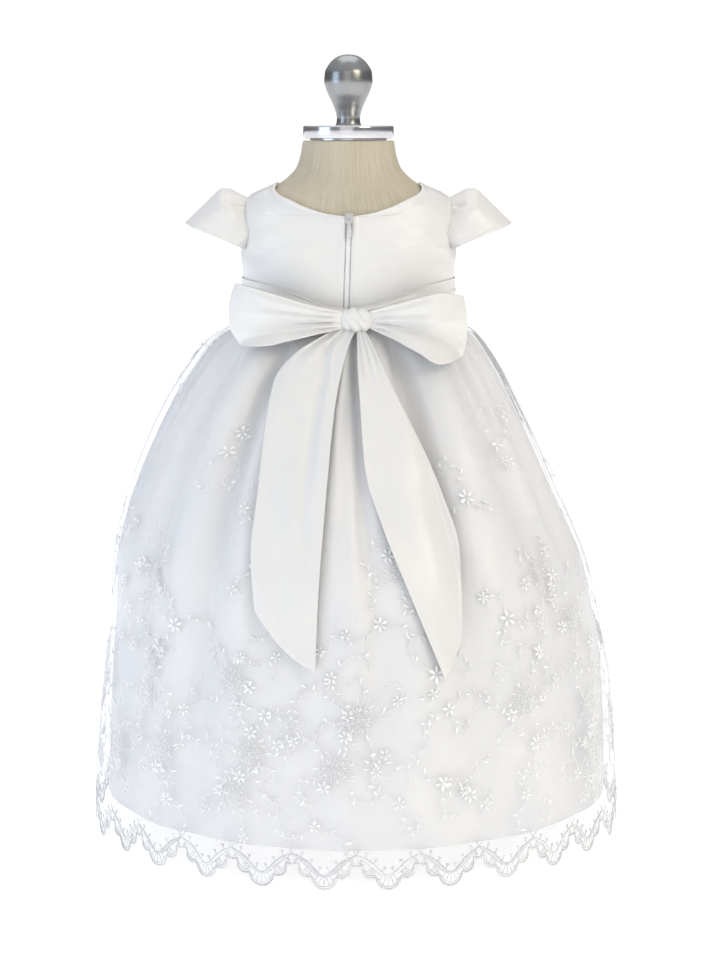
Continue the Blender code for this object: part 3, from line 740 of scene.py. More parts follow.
@dataclass
class Bodice:
    """The satin bodice: a front, and two backs on either side of the zip."""

    surface: FormSurface
    wall: float = 0.0011
    lift: float = 0.0010
    waist: float = 0.4525
    underarm: float = 0.5080
    shoulder: float = 0.5535
    top: float = 0.5632
    hole_angle: float = 15.0
    hole_fill: float = 0.89
    side_gap: float = 0.12
    slot: float = 0.0029
    columns: int = 46
    lean: Rows = ZIP_LEAN
    back_neck: Rows = Rows(
        "z angle", (0.5370, 0.0), (0.5385, 16.0), (0.5430, 32.0), (0.5500, 49.0), (0.5632, 79.0))
    front_neck: Rows = Rows(
        "z angle", (0.5250, 0.0), (0.5275, 15.0), (0.5350, 32.0), (0.5460, 52.0), (0.5632, 79.0))

    @property
    def hole(self) -> tuple[float, float]:
        """The armhole's middle height and half height."""
        return (self.underarm + self.shoulder) / 2, (self.shoulder - self.underarm) / 2

    def opening(self, turn: Floats) -> Floats:
        """The armhole's half width at an angle round it from its top: squarer and wider below."""
        low = fade(np.abs(turn), 60, 130)
        return self.hole_angle * np.abs(np.sin(np.radians(turn))) ** (1 - 0.5 * low) * (1 + 0.6 * low)

    def quarter(self, neck: Rows, side: float, front: bool) -> np.ndarray:
        """One quarter of the bodice as a grid, from its inner edge to the side seam.

        Args:
            neck: the neckline, as angle by height.
            side: +1 or -1, the side of the zip that it lies on.
            front: whether it is on the form's front.

        Returns:
            The points, for the +X side.
        """
        middle, half = self.hole
        neck_z = float(neck.data["z"][0])
        heights = sorted({
            *np.round(np.linspace(self.waist, self.underarm, 26), 6),
            *np.round(middle - half * self.hole_fill * np.cos(np.linspace(0, math.pi, 36)), 6),
            *np.round(np.linspace(neck_z, self.top, 22), 6),
        })
        z = np.array(heights)[:, None]
        inner = np.zeros_like(z)
        if not front:
            offset = self.slot + side * self.lean.at("x", z)
            inner = np.degrees(offset / self.surface.rows.at("back", z))
        inner = np.where(z > neck_z, np.maximum(inner, neck.at("angle", z)), inner)
        reach = half * self.hole_fill
        hole = self.hole_fill * self.opening(np.degrees(np.arccos(np.clip((z - middle) / reach, -1, 1))))
        outer = 90 - np.maximum(self.side_gap, hole)
        share = np.linspace(0, 1, self.columns)[None, :]
        angle = inner + (outer - inner) * share
        lift = self.lift + self.ripple(angle, z, inner, front)
        return self.surface.at(180 - angle if front else angle, z, lift)

    def ripple(self, angle: np.ndarray, z: np.ndarray, inner: np.ndarray, front: bool) -> np.ndarray:
        """The small folds that body and seams give the satin, always outwards."""
        free = fade(z, 0.486, 0.500)
        drag = 0.00045 * (1 + np.sin(angle / 7 + 260 * (z - 0.5) + 1.0)) * bump(angle, 52, 22)
        swing = 0.00035 * (1 + np.sin(angle / 11 - 190 * (z - 0.5)))
        lip = 0.0 if front else 0.0011 * bump(angle - inner, 2.4, 1.9)
        facing = 0.00018 * fade(angle - inner, 3.0, 6.5) if front else 0.0
        return (drag + swing) * free + lip * fade(z, 0.484, 0.492) + facing * free

    def build(self, room: Workroom) -> None:
        """Makes the three panels."""
        front = self.quarter(self.front_neck, 1, True)
        right = self.quarter(self.back_neck, 1, False)
        left = self.quarter(self.back_neck, -1, False)[:, ::-1] * MIRROR
        for name, node, grids in (
            ("front_panel", "bodice_front", [front[:, ::-1], front * MIRROR]),
            ("back_panel_right", "bodice_back_right", [right]),
            ("back_panel_left", "bodice_back_left", [left]),
        ):
            room.cloth(name, grids, [node], self.wall)


@dataclass
class CapSleeves:
    """Short satin sleeves, gathered into the armholes and turned up at the hem."""

    bodice: Bodice
    wall: float = 0.0011
    seam_lift: float = 0.0012
    shrink: float = 0.87
    shape: Rows = Rows(
        "angle hem_x hem_y hem_z puff",
        (0.0, 0.1420, 0.0000, 0.5300, 0.0160), (45.0, 0.1330, 0.0225, 0.5265, 0.0105),
        (85.0, 0.1120, 0.0330, 0.5185, 0.0045), (118.0, 0.0985, 0.0335, 0.5128, 0.0016),
        (150.0, 0.0888, 0.0272, 0.5085, 0.0004),
    )
    puff: Rows = Rows(
        "out share",
        (0.00, 0.00), (0.10, 0.30), (0.20, 0.60), (0.30, 0.87), (0.42, 1.00),
        (0.55, 0.81), (0.70, 0.54), (0.85, 0.27), (1.00, 0.00),
    )
    tuck: float = 0.0040
    pucker: float = 0.0030
    presses: tuple[tuple[float, float, float, float, float], ...] = (
        # depth, angle, its spread, way out, its spread
        (0.0022, 46, 5, 0.17, 0.13), (-0.0010, 56, 6, 0.20, 0.15),
    )

    def sheet(self) -> np.ndarray:
        """The +X sleeve, by the angle round the armhole and the way out to the hem."""
        middle, half = self.bodice.hole
        angle, out = np.linspace(-150, 150, 151)[:, None], np.linspace(0, 1, 41)[None, :]
        turn, away = np.radians(angle), np.abs(angle)
        seam = self.bodice.surface.at(
            90 - np.sign(turn) * self.shrink * self.bodice.opening(angle),
            middle + half * self.shrink * np.cos(turn), self.seam_lift)
        hem = np.stack([self.shape.at("hem_x", away), -np.sign(angle) * self.shape.at("hem_y", away),
                        self.shape.at("hem_z", away)], axis=-1)
        tuck = self.tuck * np.cos(7 * turn) * (1 - out) ** 1.5 * out
        pucker = self.pucker * np.cos(23 * turn + 0.6) * np.exp(-7 * out) * out * fade(away, 125, 95)
        press = 0.0009 * bump(out, 0.34 + 0.05 * np.sin(turn * 2), 0.035) * bump(angle, 28, 26)
        for depth, middle_angle, spread, way_out, width in self.presses:
            press = press + depth * bump(angle, middle_angle, spread) * bump(out, way_out, width)
        fold = -0.00035 * bump(out, 0.90, 0.010)
        raised = self.shape.at("puff", away) * self.puff.at("share", out) + tuck + pucker - press + fold
        way = np.stack([np.zeros_like(turn), -np.sin(turn), np.cos(turn)], axis=-1)
        return seam + out[..., None] * (hem - seam) + raised[..., None] * way

    def build(self, room: Workroom) -> None:
        """Makes both sleeves."""
        right = self.sheet()
        for side, sheet in (("right", right), ("left", right[:, ::-1] * MIRROR)):
            room.cloth(f"cap_sleeve_{side}", [sheet], [f"sleeve_{side}"], self.wall)


# The skirts


@dataclass
class SkirtShape:
    """The skirts' shape: the net's by height, and the lining's under it."""

    rows: Rows = Rows(
        "z half_width depth_share squareness air centre_x gather fold",
        (0.0360, 0.2322, 1.000, 2.00, 0.0115, 0.007, 0.0000, 0.0014),
        (0.1012, 0.2276, 1.000, 2.00, 0.0095, 0.008, 0.0000, 0.0026),
        (0.1467, 0.2225, 0.995, 2.00, 0.0072, 0.008, 0.0000, 0.0036),
        (0.1920, 0.2157, 0.985, 2.00, 0.0056, 0.007, 0.0000, 0.0048),
        (0.2372, 0.2102, 0.965, 2.00, 0.0052, 0.004, 0.0002, 0.0060),
        (0.2820, 0.1970, 0.940, 2.00, 0.0060, 0.000, 0.0006, 0.0068),
        (0.3265, 0.1810, 0.905, 2.00, 0.0080, -0.002, 0.0010, 0.0070),
        (0.3708, 0.1615, 0.858, 2.00, 0.0100, -0.002, 0.0014, 0.0078),
        (0.4148, 0.1360, 0.790, 2.05, 0.0115, 0.000, 0.0016, 0.0072),
        (0.4300, 0.1235, 0.765, 2.10, 0.0115, 0.000, 0.0015, 0.0052),
        (0.4400, 0.1080, 0.755, 2.15, 0.0090, 0.000, 0.0008, 0.0010),
        (0.4465, 0.0934, 0.760, 2.20, 0.0027, 0.000, 0.0000, 0.0000),
        (0.4520, 0.0930, 0.760, 2.20, 0.0025, 0.000, 0.0000, 0.0000),
    )
    gathers: int = 35
    wide_gathers: int = 18
    wide_depth: float = 0.0046
    groove: float = 0.0045
    scallops: int = 28
    hem_radius: float = 0.233
    folds: tuple[tuple[float, float, float], ...] = (
        # angle, width in degrees, share of the fold's height, outwards positive
        (-172.0, 9.0, 0.8), (-151.0, 10.0, -0.9), (-131.0, 8.0, 0.9), (-113.0, 9.0, -0.8),
        (-92.0, 8.0, 0.5), (-74.0, 8.0, 0.6), (-59.0, 6.0, -1.0), (-47.0, 6.5, 1.0),
        (-36.0, 5.0, -1.4), (-25.0, 6.0, 0.7), (-13.0, 6.0, -0.3), (-2.0, 5.0, 0.6), (5.0, 3.5, -0.7),
        (14.0, 6.0, 0.7), (26.0, 5.5, -1.2), (39.0, 7.0, 1.0), (54.0, 6.0, -0.8), (67.0, 7.0, 0.6),
        (82.0, 7.0, -0.5),
        (98.0, 9.0, -0.9), (117.0, 9.0, 0.9), (137.0, 9.0, -0.7), (155.0, 8.0, 0.8), (171.0, 7.0, -0.5),
    )
    lobes: tuple[tuple[float, float, float], ...] = (
        # middle across the scallop, height, radius
        (-0.0240, 0.0290, 0.0046), (-0.0138, 0.0217, 0.0078), (0.0, 0.0147, 0.0105),
        (0.0138, 0.0217, 0.0078), (0.0240, 0.0290, 0.0046),
    )
    cusp: float = 0.0262

    @property
    def pitch(self) -> float:
        """One scallop's width along the hem."""
        return TURN * self.hem_radius / self.scallops

    def folded(self, angle: Floats) -> Floats:
        """The deep folds at an angle, outwards positive."""
        total = np.zeros_like(angle)
        for centre, width, share in self.folds:
            total = total + share * np.exp(-1.6 * (((angle - centre + 180) % 360 - 180) / width) ** 2)
        return total

    def bare(self, angle: Floats, z: Floats, under: float) -> np.ndarray:
        """Points on the cloth's middle, without lift."""
        sine, cosine = np.sin(np.radians(angle)), np.cos(np.radians(angle))
        half_width = self.rows.at("half_width", z)
        depth = half_width * self.rows.at("depth_share", z)
        power = self.rows.at("squareness", z)
        radius = (np.abs(sine / half_width) ** power + np.abs(cosine / depth) ** power) ** (-1 / power)
        folded = self.folded(angle)
        behind = 0.42 + 0.20 * fade(z, 0.22, 0.29)
        radius = radius - under * self.rows.at("air", z) * (behind + (1 - behind) * sine**2)
        radius = radius + self.rows.at("fold", z) * folded
        radius = radius - self.gathered(angle, z, under)
        sunk = under * self.groove * np.maximum(0.0, -folded)
        radius = radius - sunk * fade(z, 0.22, 0.30) * fade(z, 0.43, 0.40)
        return np.stack([self.rows.at("centre_x", z) + radius * sine, -radius * cosine, z], axis=-1)

    def gathered(self, angle: Floats, z: Floats, under: float) -> Floats:
        """How far the cloth dips between the small gathers, which join in twos as they fall."""
        slip = 9.0 * (0.45 - z) * np.sin(np.radians(5 * angle + 70))
        drift = 0.9 * np.sin(np.radians(3 * angle + 40)) + 0.7 * np.sin(np.radians(7 * angle)) + slip
        fine = 1 - np.cos(np.radians(angle * self.gathers) + drift)
        wide = (1 - np.cos(np.radians(angle * self.wide_gathers) + 1.6 * drift + 1.0)) / 2
        sharp = wide**2.2
        fine_depth = self.rows.at("gather", z) * (1.7 - 0.9 * under)
        near_waist = fade(z, 0.4440, 0.4300)
        wide_depth = (self.wide_depth - 0.0006 * under) * fade(z, 0.10, 0.36) * near_waist
        return fine_depth * fine * (0.55 + 0.45 * near_waist) + wide_depth * sharp

    def at(self, angle: Floats, z: Floats, under: float = 0.0, lift: Floats = 0.0) -> np.ndarray:
        """Points on the net, or on the lining where under is 1.

        Args:
            angle: round the skirt, in degrees.
            z: the height.
            under: 0 on the net, 1 on the lining.
            lift: how far out from the cloth's middle.

        Returns:
            The points, with a last axis of three.
        """
        angle, z, lift = (np.asarray(v, dtype=float) for v in np.broadcast_arrays(angle, z, lift))
        points = self.bare(angle, z, under)
        if not np.any(lift):
            return points
        across = self.bare(angle + 0.1, z, under) - self.bare(angle - 0.1, z, under)
        up = self.bare(angle, z + 0.0005, under) - self.bare(angle, z - 0.0005, under)
        out = np.cross(across, up)
        out /= np.linalg.norm(out, axis=-1, keepdims=True)
        return points + out * lift[..., None]

    def edge(self, angle: Floats, inset: float = 0.0) -> Floats:
        """The height of the net's scalloped edge at an angle."""
        share = ((angle - 90) * self.scallops / 360) % 1.0
        u = (share - 0.5) * self.pitch
        height = np.full_like(u, self.cusp)
        for centre, middle, radius in self.lobes:
            inside = np.maximum((radius - inset) ** 2 - (u - centre) ** 2, 0.0)
            height = np.where(inside > 0, np.minimum(height, middle - np.sqrt(inside)), height)
        return height


@dataclass
class Skirts:
    """The satin underskirt and the net overskirt, each of a back and a front half."""

    shape: SkirtShape
    satin_wall: float = 0.0010
    net_wall: float = 0.0004
    seam_gap: float = 0.0003
    top: float = 0.4520
    turned_up: tuple[float, ...] = (0.0360, 0.0390, 0.0440, 0.0485, 0.0500, 0.0510)
    net_low: float = 0.0042
    net_even: float = 0.062

    def turn(self, first: float, columns: int) -> np.ndarray:
        """The angles of half a skirt, its ends drawn in by the gap at the side seams."""
        gap = math.degrees(self.seam_gap / 0.15)
        return np.linspace(first + gap, first + 180 - gap, columns)[None, :]

    def lining(self, first: float) -> np.ndarray:
        """Half the underskirt, with its hem turned up inside."""
        rows = np.linspace(0.052, self.top, 84)
        z = np.concatenate([self.turned_up, rows])[:, None]
        lift = -0.00012 * bump(z, 0.0505, 0.0012) + 0.00015
        return self.shape.at(self.turn(first, 221), z, 1.0, lift)

    def net(self, first: float) -> np.ndarray:
        """Half the overskirt, its lowest row on the scallops."""
        angle = self.turn(first, self.shape.scallops * 14 + 1)
        z = np.concatenate([np.linspace(self.net_low, 0.044, 12)[:-1], np.linspace(0.044, self.top, 56)])
        z = z[:, None]
        share = np.clip((self.net_even - z) / (self.net_even - self.net_low), 0, 1)
        return self.shape.at(angle, z + (self.shape.edge(angle, 0.0006) - self.net_low) * share)

    def build(self, room: Workroom) -> None:
        """Makes the four halves."""
        for name, first in (("back", -90.0), ("front", 90.0)):
            room.cloth(f"satin_skirt_{name}", [self.lining(first)], [f"underskirt_{name}"],
                       self.satin_wall, rounded=0.0)
            room.cloth(f"net_skirt_{name}", [self.net(first)], [f"overlay_{name}"],
                       self.net_wall, Finish.NET, 0.0)


# Embroidery and lace


@dataclass
class Needlework:
    """Stitches planned flat round the skirt, as angle, height and lift, then sewn on the net."""

    shape: SkirtShape
    lift: float = 0.00018
    forms: dict[str, tuple[np.ndarray, np.ndarray, np.ndarray]] = field(default_factory=dict)
    points: list[np.ndarray] = field(default_factory=list)
    faces: list[np.ndarray] = field(default_factory=list)
    shades: list[np.ndarray] = field(default_factory=list)
    count: int = 0

    def model(self, room: Workroom) -> None:
        """Models the petal and the bead once, each from a primitive."""
        room.clear()
        bpy.ops.mesh.primitive_uv_sphere_add(segments=8, ring_count=5, radius=1.0,
                                             rotation=(0, math.pi / 2, 0))
        bpy.ops.object.transform_apply(location=False, rotation=True, scale=False)
        self.take(room, "petal", lambda p: np.stack([
            0.5 + 0.5 * p[:, 0],
            0.5 * p[:, 1] * (0.80 + 0.30 * p[:, 0]),
            np.where(p[:, 2] > 0, p[:, 2] * (1 - 0.45 * bump(p[:, 1], 0, 0.3)), p[:, 2] * 0.15),
        ], axis=1))
        bpy.ops.mesh.primitive_ico_sphere_add(subdivisions=1, radius=1.0)
        self.take(room, "bead", lambda p: np.stack(
            [0.5 * p[:, 0], 0.5 * p[:, 1], 0.55 * p[:, 2] + 0.3], axis=1))

    def take(self, room: Workroom, name: str, shape: Callable[[np.ndarray], np.ndarray]) -> None:
        """Shapes the new primitive, keeps its form under a name and clears it away."""
        piece = bpy.context.object
        room.edit(bpy.ops.mesh.quads_convert_to_tris)
        points = np.array([v.co for v in piece.data.vertices])
        faces = np.array([list(f.vertices) for f in piece.data.polygons])
        # Painted shade: each form is darker towards its rim and lighter over its top.
        rim = fade(np.hypot(points[:, 0], points[:, 1]), 0.75, 1.02)
        self.forms[name] = (shape(points), faces, 1 - rim)
        bpy.data.objects.remove(piece, do_unlink=True)

    def add(self, u: np.ndarray, v: np.ndarray, h: np.ndarray, faces: np.ndarray, shade: np.ndarray,
            angle: float, z: float) -> None:
        """Adds points of a flat plan about a place on the skirt.

        Args:
            u: to the right, in metres.
            v: upwards, in metres.
            h: out from the net.
            faces: triangles over the points.
            shade: the thread's painted shade, from 0 at a form's rim or a cord's side to 1 over its top.
            angle: the place's angle, in degrees.
            z: the place's height.
        """
        height = z + v * 0.985
        round_ = angle + np.degrees(u / self.shape.rows.at("half_width", np.maximum(height, 0.036)))
        self.points.append(np.stack([round_, height, h], axis=1))
        self.faces.append(faces + self.count)
        # Painted shade, times a tone that differs at random from stamp to stamp.
        self.shades.append(shade * (0.80 + 0.20 * math.sin(self.count)))
        self.count += len(u)

    def stamp(self, form: str, place: tuple[float, float], at: tuple[float, float], turn: float,
              size: tuple[float, float, float]) -> None:
        """Adds a petal, leaf or bead.

        Args:
            form: the form's name.
            place: the plan's angle and height.
            at: where its near end lies in the plan.
            turn: its direction in the plan, in radians from rightwards.
            size: its length, width and height.
        """
        points, faces, shade = self.forms[form]
        x, y, h = points[:, 0] * size[0], points[:, 1] * size[1], points[:, 2] * size[2]
        u = at[0] + x * math.cos(turn) - y * math.sin(turn)
        v = at[1] + x * math.sin(turn) + y * math.cos(turn)
        self.add(u, v, h, faces, shade, *place)

    def outline(self, place: tuple[float, float], at: tuple[float, float], turn: float,
                size: tuple[float, float]) -> None:
        """Adds a petal drawn as a line of thread, from its near end, of a length and a width."""
        t = np.linspace(0, TURN, 11)
        x, y = size[0] * (1 - np.cos(t)) / 2, size[1] / 2 * np.sin(t) * (1 - 0.25 * np.cos(t))
        path = np.stack([at[0] + x * math.cos(turn) - y * math.sin(turn),
                         at[1] + x * math.sin(turn) + y * math.cos(turn)], axis=1)
        self.cord(place, path, 0.00052, 0.00045)

    def cord(self, place: tuple[float, float], path: np.ndarray, width: Floats, height: float) -> None:
        """Adds a raised line of thread along a path in the plan."""
        ahead = np.gradient(path, axis=0)
        ahead /= np.maximum(np.linalg.norm(ahead, axis=1, keepdims=True), 1e-9)
        side = np.stack([-ahead[:, 1], ahead[:, 0]], axis=1) * np.broadcast_to(width, len(path))[:, None] / 2
        shares = ((1.0, 0.0), (0.50, 0.85), (-0.50, 0.85), (-1.0, 0.0))
        flat = np.concatenate([path + side * share for share, _ in shares])
        rises = np.repeat([rise for _, rise in shares], len(path))
        n, faces = len(path), []
        for i in range(4):
            a, b = i * n + np.arange(n - 1), ((i + 1) % 4) * n + np.arange(n - 1)
            faces += [np.stack([a, b, b + 1], axis=1), np.stack([a, b + 1, a + 1], axis=1)]
        start, end = np.arange(4) * n, np.arange(4) * n + n - 1
        faces.append(np.array([start[[0, 2, 1]], start[[0, 3, 2]], end[[0, 1, 2]], end[[0, 2, 3]]]))
        # The rises also give the painted shade: the cord's sides darker than its top.
        self.add(flat[:, 0], flat[:, 1], rises * height, np.concatenate(faces), rises, *place)

    def sew(self, room: Workroom, name: str, shades: tuple[float, float]) -> None:
        """Makes one piece of all the stitches so far and starts afresh.

        Args:
            room: where it is made.
            name: the piece's name.
            shades: the painted shade at a form's rim or a cord's side, and how much lighter its top is
                painted.
        """
        plan, faces = np.concatenate(self.points), np.concatenate(self.faces)
        points = self.shape.at(plan[:, 0], plan[:, 1], 0.0, self.lift + plan[:, 2])
        mesh = bpy.data.meshes.new(name)
        mesh.from_pydata(points.tolist(), [], faces.tolist())
        # The shade attribute carries the painted shade to the thread's material.
        shade = (shades[0] + shades[1] * np.concatenate(self.shades)).astype(np.float32)
        mesh.attributes.new("shade", "FLOAT", "POINT").data.foreach_set("value", shade)
        piece = bpy.data.objects.new(name, mesh)
        bpy.context.scene.collection.objects.link(piece)
        room.take_up(piece)
        room.edit(OUTWARDS)
        room.finish(piece, Finish.THREAD, sharp=60)
        self.points, self.faces, self.shades, self.count = [], [], [], 0


@dataclass
class Flowers:
    """The embroidered sprays of roses, small blossoms, leaves and curled tendrils."""

    work: Needlework
    seed: int = 41
    bands: tuple[tuple[float, int, float, float], ...] = (
        # height, sprays round the skirt, share of large roses, first angle
        (0.068, 22, 0.10, 4.0), (0.100, 17, 0.55, 17.0), (0.136, 18, 0.20, 1.0),
        (0.172, 15, 0.45, 20.0), (0.210, 14, 0.15, 8.0), (0.252, 11, 0.50, 14.0),
        (0.300, 7, 0.0, 30.0), (0.350, 4, 0.0, 52.0),
    )
    lone: tuple[tuple[float, float], ...] = ((281.0, 0.392), (101.0, 0.380))
    rings: tuple[tuple[int, float, float, float, float], ...] = (
        # petals in a rose's ring, distance from its middle, length, width, height
        (9, 0.0062, 0.0056, 0.0054, 0.0004), (7, 0.0032, 0.0048, 0.0046, 0.0005),
        (5, 0.0004, 0.0036, 0.0034, 0.0007),
    )
    rose_leaves: int = 11
    tendril_points: int = 30
    # Painted shade of the embroidery: its level at the rims, and how much lighter the tops are.
    shades: tuple[float, float] = (0.46, 0.50)

    def build(self, room: Workroom) -> None:
        """Sews the sprays, a quarter of the skirt to a piece."""
        rng = np.random.default_rng(self.seed)
        sprays = []
        for height, count, roses, first in self.bands:
            for i in range(count):
                angle = first + 360 * i / count + rng.uniform(-5, 5)
                sprays.append((angle % 360, height + rng.uniform(-0.013, 0.013), rng.random() < roses))
        sprays += [(angle, height, False) for angle, height in self.lone]
        sprays.sort(key=lambda spray: spray[0])
        for quarter in range(4):
            for angle, z, rose in sprays:
                if quarter * 90 <= angle < quarter * 90 + 90:
                    self.spray((angle, z), rose, rng)
            self.work.sew(room, f"embroidery_{quarter + 1}", self.shades)

    def spray(self, place: tuple[float, float], rose: bool, rng: np.random.Generator) -> None:
        """One spray: a rose or a small blossom with its leaves, tendrils and beads."""
        lean = rng.uniform(0, TURN)
        if rose:
            self.rose(place, (0.0, 0.0), rng.uniform(0.9, 1.15), rng)
            side = (0.017 * math.cos(lean), 0.017 * math.sin(lean))
            self.blossom(place, side, 1.0, rng)
            for k in range(5):
                self.sprig(place, lean + 1.1 + 1.15 * k + rng.uniform(-0.3, 0.3), 0.012, rng)
        else:
            self.blossom(place, (0.0, 0.0), rng.uniform(0.9, 1.3), rng)
            for k in range(3):
                self.sprig(place, lean + 2.1 * k + rng.uniform(-0.5, 0.5), 0.005, rng)

    def rose(self, place: tuple[float, float], at: tuple[float, float], size: float,
             rng: np.random.Generator) -> None:
        """A full rose of three rings of petals, with leaves behind it."""
        start = rng.uniform(0, 6)
        for k in range(self.rose_leaves):
            turn = start + k * TURN / self.rose_leaves + rng.uniform(-0.25, 0.25)
            reach = rng.uniform(0.0104, 0.0122)
            root = (at[0] + reach * size * math.cos(turn), at[1] + reach * size * math.sin(turn))
            if rng.random() < 0.72:
                self.work.stamp("petal", place, root, turn + rng.uniform(-0.9, 0.9),
                                (rng.uniform(0.0045, 0.0070) * size, 0.0016 * size, 0.0005))
            else:
                self.work.stamp("bead", place, root, 0.0, (0.0017, 0.0017, 0.0011))
        for count, reach, length, width, height in self.rings:
            for k in range(count):
                turn = start + reach * 900 + k * TURN / count + rng.uniform(-0.12, 0.12)
                root = (at[0] + reach * size * math.cos(turn), at[1] + reach * size * math.sin(turn))
                self.work.outline(place, root, turn, (length * size, width * size))
                self.work.stamp("petal", place, root, turn,
                                (length * size * 0.66, width * size * 0.22, height))

    def blossom(self, place: tuple[float, float], at: tuple[float, float], size: float,
                rng: np.random.Generator) -> None:
        """A small open blossom of five or six petals about a bead."""
        count, start = int(rng.integers(5, 7)), rng.uniform(0, 6)
        for k in range(count):
            turn = start + k * TURN / count
            root = (at[0] + 0.0009 * math.cos(turn), at[1] + 0.0009 * math.sin(turn))
            self.work.stamp("petal", place, root, turn, (0.0052 * size, 0.0030 * size, 0.0006))
        self.work.stamp("bead", place, at, 0.0, (0.0014, 0.0014, 0.0012))

    def sprig(self, place: tuple[float, float], lean: float, start: float,
              rng: np.random.Generator) -> None:
        """A tendril that curls at its end, with leaves, buds and beads along it."""
        length, curl = rng.uniform(0.024, 0.056), rng.choice([-1, 1]) * rng.uniform(0.7, 1.6)
        t = np.linspace(0, 1, self.tendril_points)
        heading = lean + curl * (t**2.2) * 3.2
        step = length / (self.tendril_points - 1)
        path = np.cumsum(np.stack([np.cos(heading), np.sin(heading)], axis=1) * step, axis=0)
        path += np.array([math.cos(lean), math.sin(lean)]) * start
        self.work.cord(place, path, 0.00058, 0.0004)
        for k in range(4, 24, 4):
            side = 1 if k % 8 else -1
            size = rng.uniform(0.8, 1.2)
            if rng.random() < 0.7:
                self.work.stamp("petal", place, tuple(path[k]), heading[k] + side * 0.9,
                                (0.0052 * size, 0.0022 * size, 0.0005))
            else:
                self.work.stamp("bead", place, tuple(path[k] + side * 0.0016), 0.0,
                                (0.0014, 0.0014, 0.0010))
        self.work.stamp("bead", place, tuple(path[-1]), 0.0, (0.0018, 0.0018, 0.0010))
        if rng.random() < 0.45:
            tip = tuple(path[17] + np.array([0.004, 0.004]) * rng.choice([-1, 1]))
            self.blossom(place, tip, 0.8, rng)


@dataclass
class LaceEdge:
    """The scalloped lace along the net's hem: lobed outline, inner band, spokes, bars and picots."""

    work: Needlework
    inner: Rows = Rows(
        "u v width",
        (-0.0262, 0.0340, 0.0018), (-0.0205, 0.0308, 0.0026), (-0.0150, 0.0272, 0.0038),
        (-0.0084, 0.0208, 0.0036), (-0.0040, 0.0172, 0.0024), (0.0, 0.0160, 0.0020),
        (0.0040, 0.0172, 0.0024), (0.0084, 0.0208, 0.0036), (0.0150, 0.0272, 0.0038),
        (0.0205, 0.0308, 0.0026), (0.0262, 0.0340, 0.0018),
    )
    picots: tuple[float, ...] = (-0.0195, -0.0125, -0.0055, 0.0055, 0.0125, 0.0195)
    arcs: tuple[tuple[float, float], ...] = (
        (-118.0, -40.0), (-160.0, -62.0), (-163.0, -17.0), (-118.0, -20.0), (-140.0, -62.0),
    )
    cords: tuple[tuple[float, float, float], ...] = (
        # inset from the lobes, width, height
        (0.0007, 0.0018, 0.0008), (0.0028, 0.0010, 0.0005),
    )
    spoke_inset: float = 0.0030
    half_band: float = 0.0261
    pieces: int = 2
    # Painted shade of the lace: its level at the rims, and how much lighter the tops are.
    shades: tuple[float, float] = (0.08, 0.78)

    def outline(self, inset: float) -> np.ndarray:
        """The lobed outline of a scallop, drawn in by an inset."""
        parts = []
        for (centre, middle, radius), (start, end) in zip(self.work.shape.lobes, self.arcs):
            turn = np.radians(np.linspace(start, end, 13))
            reach = max(radius - inset, 0.0015)
            parts.append(np.stack([centre + reach * np.cos(turn), middle + reach * np.sin(turn)], axis=1))
        return np.concatenate(parts)

    def build(self, room: Workroom) -> None:
        """Sews all the scallops, half of them to a piece."""
        scallops = self.work.shape.scallops
        for k in range(scallops):
            self.scallop(((k + 0.5) * 360 / scallops + 90, 0.0))
            done = (k + 1) * self.pieces
            if done % scallops == 0:
                self.work.sew(room, f"lace_edge_{done // scallops}", self.shades)

    def scallop(self, place: tuple[float, float]) -> None:
        """One scallop; its plan starts at the floor under its middle."""
        for inset, width, height in self.cords:
            self.work.cord(place, self.outline(inset), width, height)
        u = np.linspace(-self.half_band, self.half_band, 61)
        band = np.stack([u, self.inner.at("v", u)], axis=1)
        self.work.cord(place, band, self.inner.at("width", u), 0.0007)
        rim = self.outline(self.spoke_inset)
        for k in range(2, len(rim) - 2, 3):
            nearest = band[np.argmin(np.linalg.norm(band - rim[k], axis=1))]
            self.work.cord(place, np.linspace(rim[k], nearest, 3), 0.0007, 0.0004)
        for x in self.picots:
            i = int(np.argmin(np.abs(u - x)))
            slope = np.gradient(band[:, 1], u)[i]
            away = np.array([-slope, 1.0]) / math.hypot(slope, 1.0)
            away = away * 0.6 + np.array([0.0, 0.5])
            tip = band[i] + away * 0.0052
            self.work.cord(place, np.linspace(band[i], tip, 5), 0.0009, 0.0005)
            self.work.stamp("bead", place, (float(tip[0]), float(tip[1])), 0.0, (0.0029, 0.0029, 0.0010))
        for side in (-1, 1):
            top = np.array([side * self.half_band, 0.0345])
            self.work.cord(place, np.linspace(top, top + (-side * 0.0035, 0.0050), 4), 0.0008, 0.0004)


# The sash and its bow


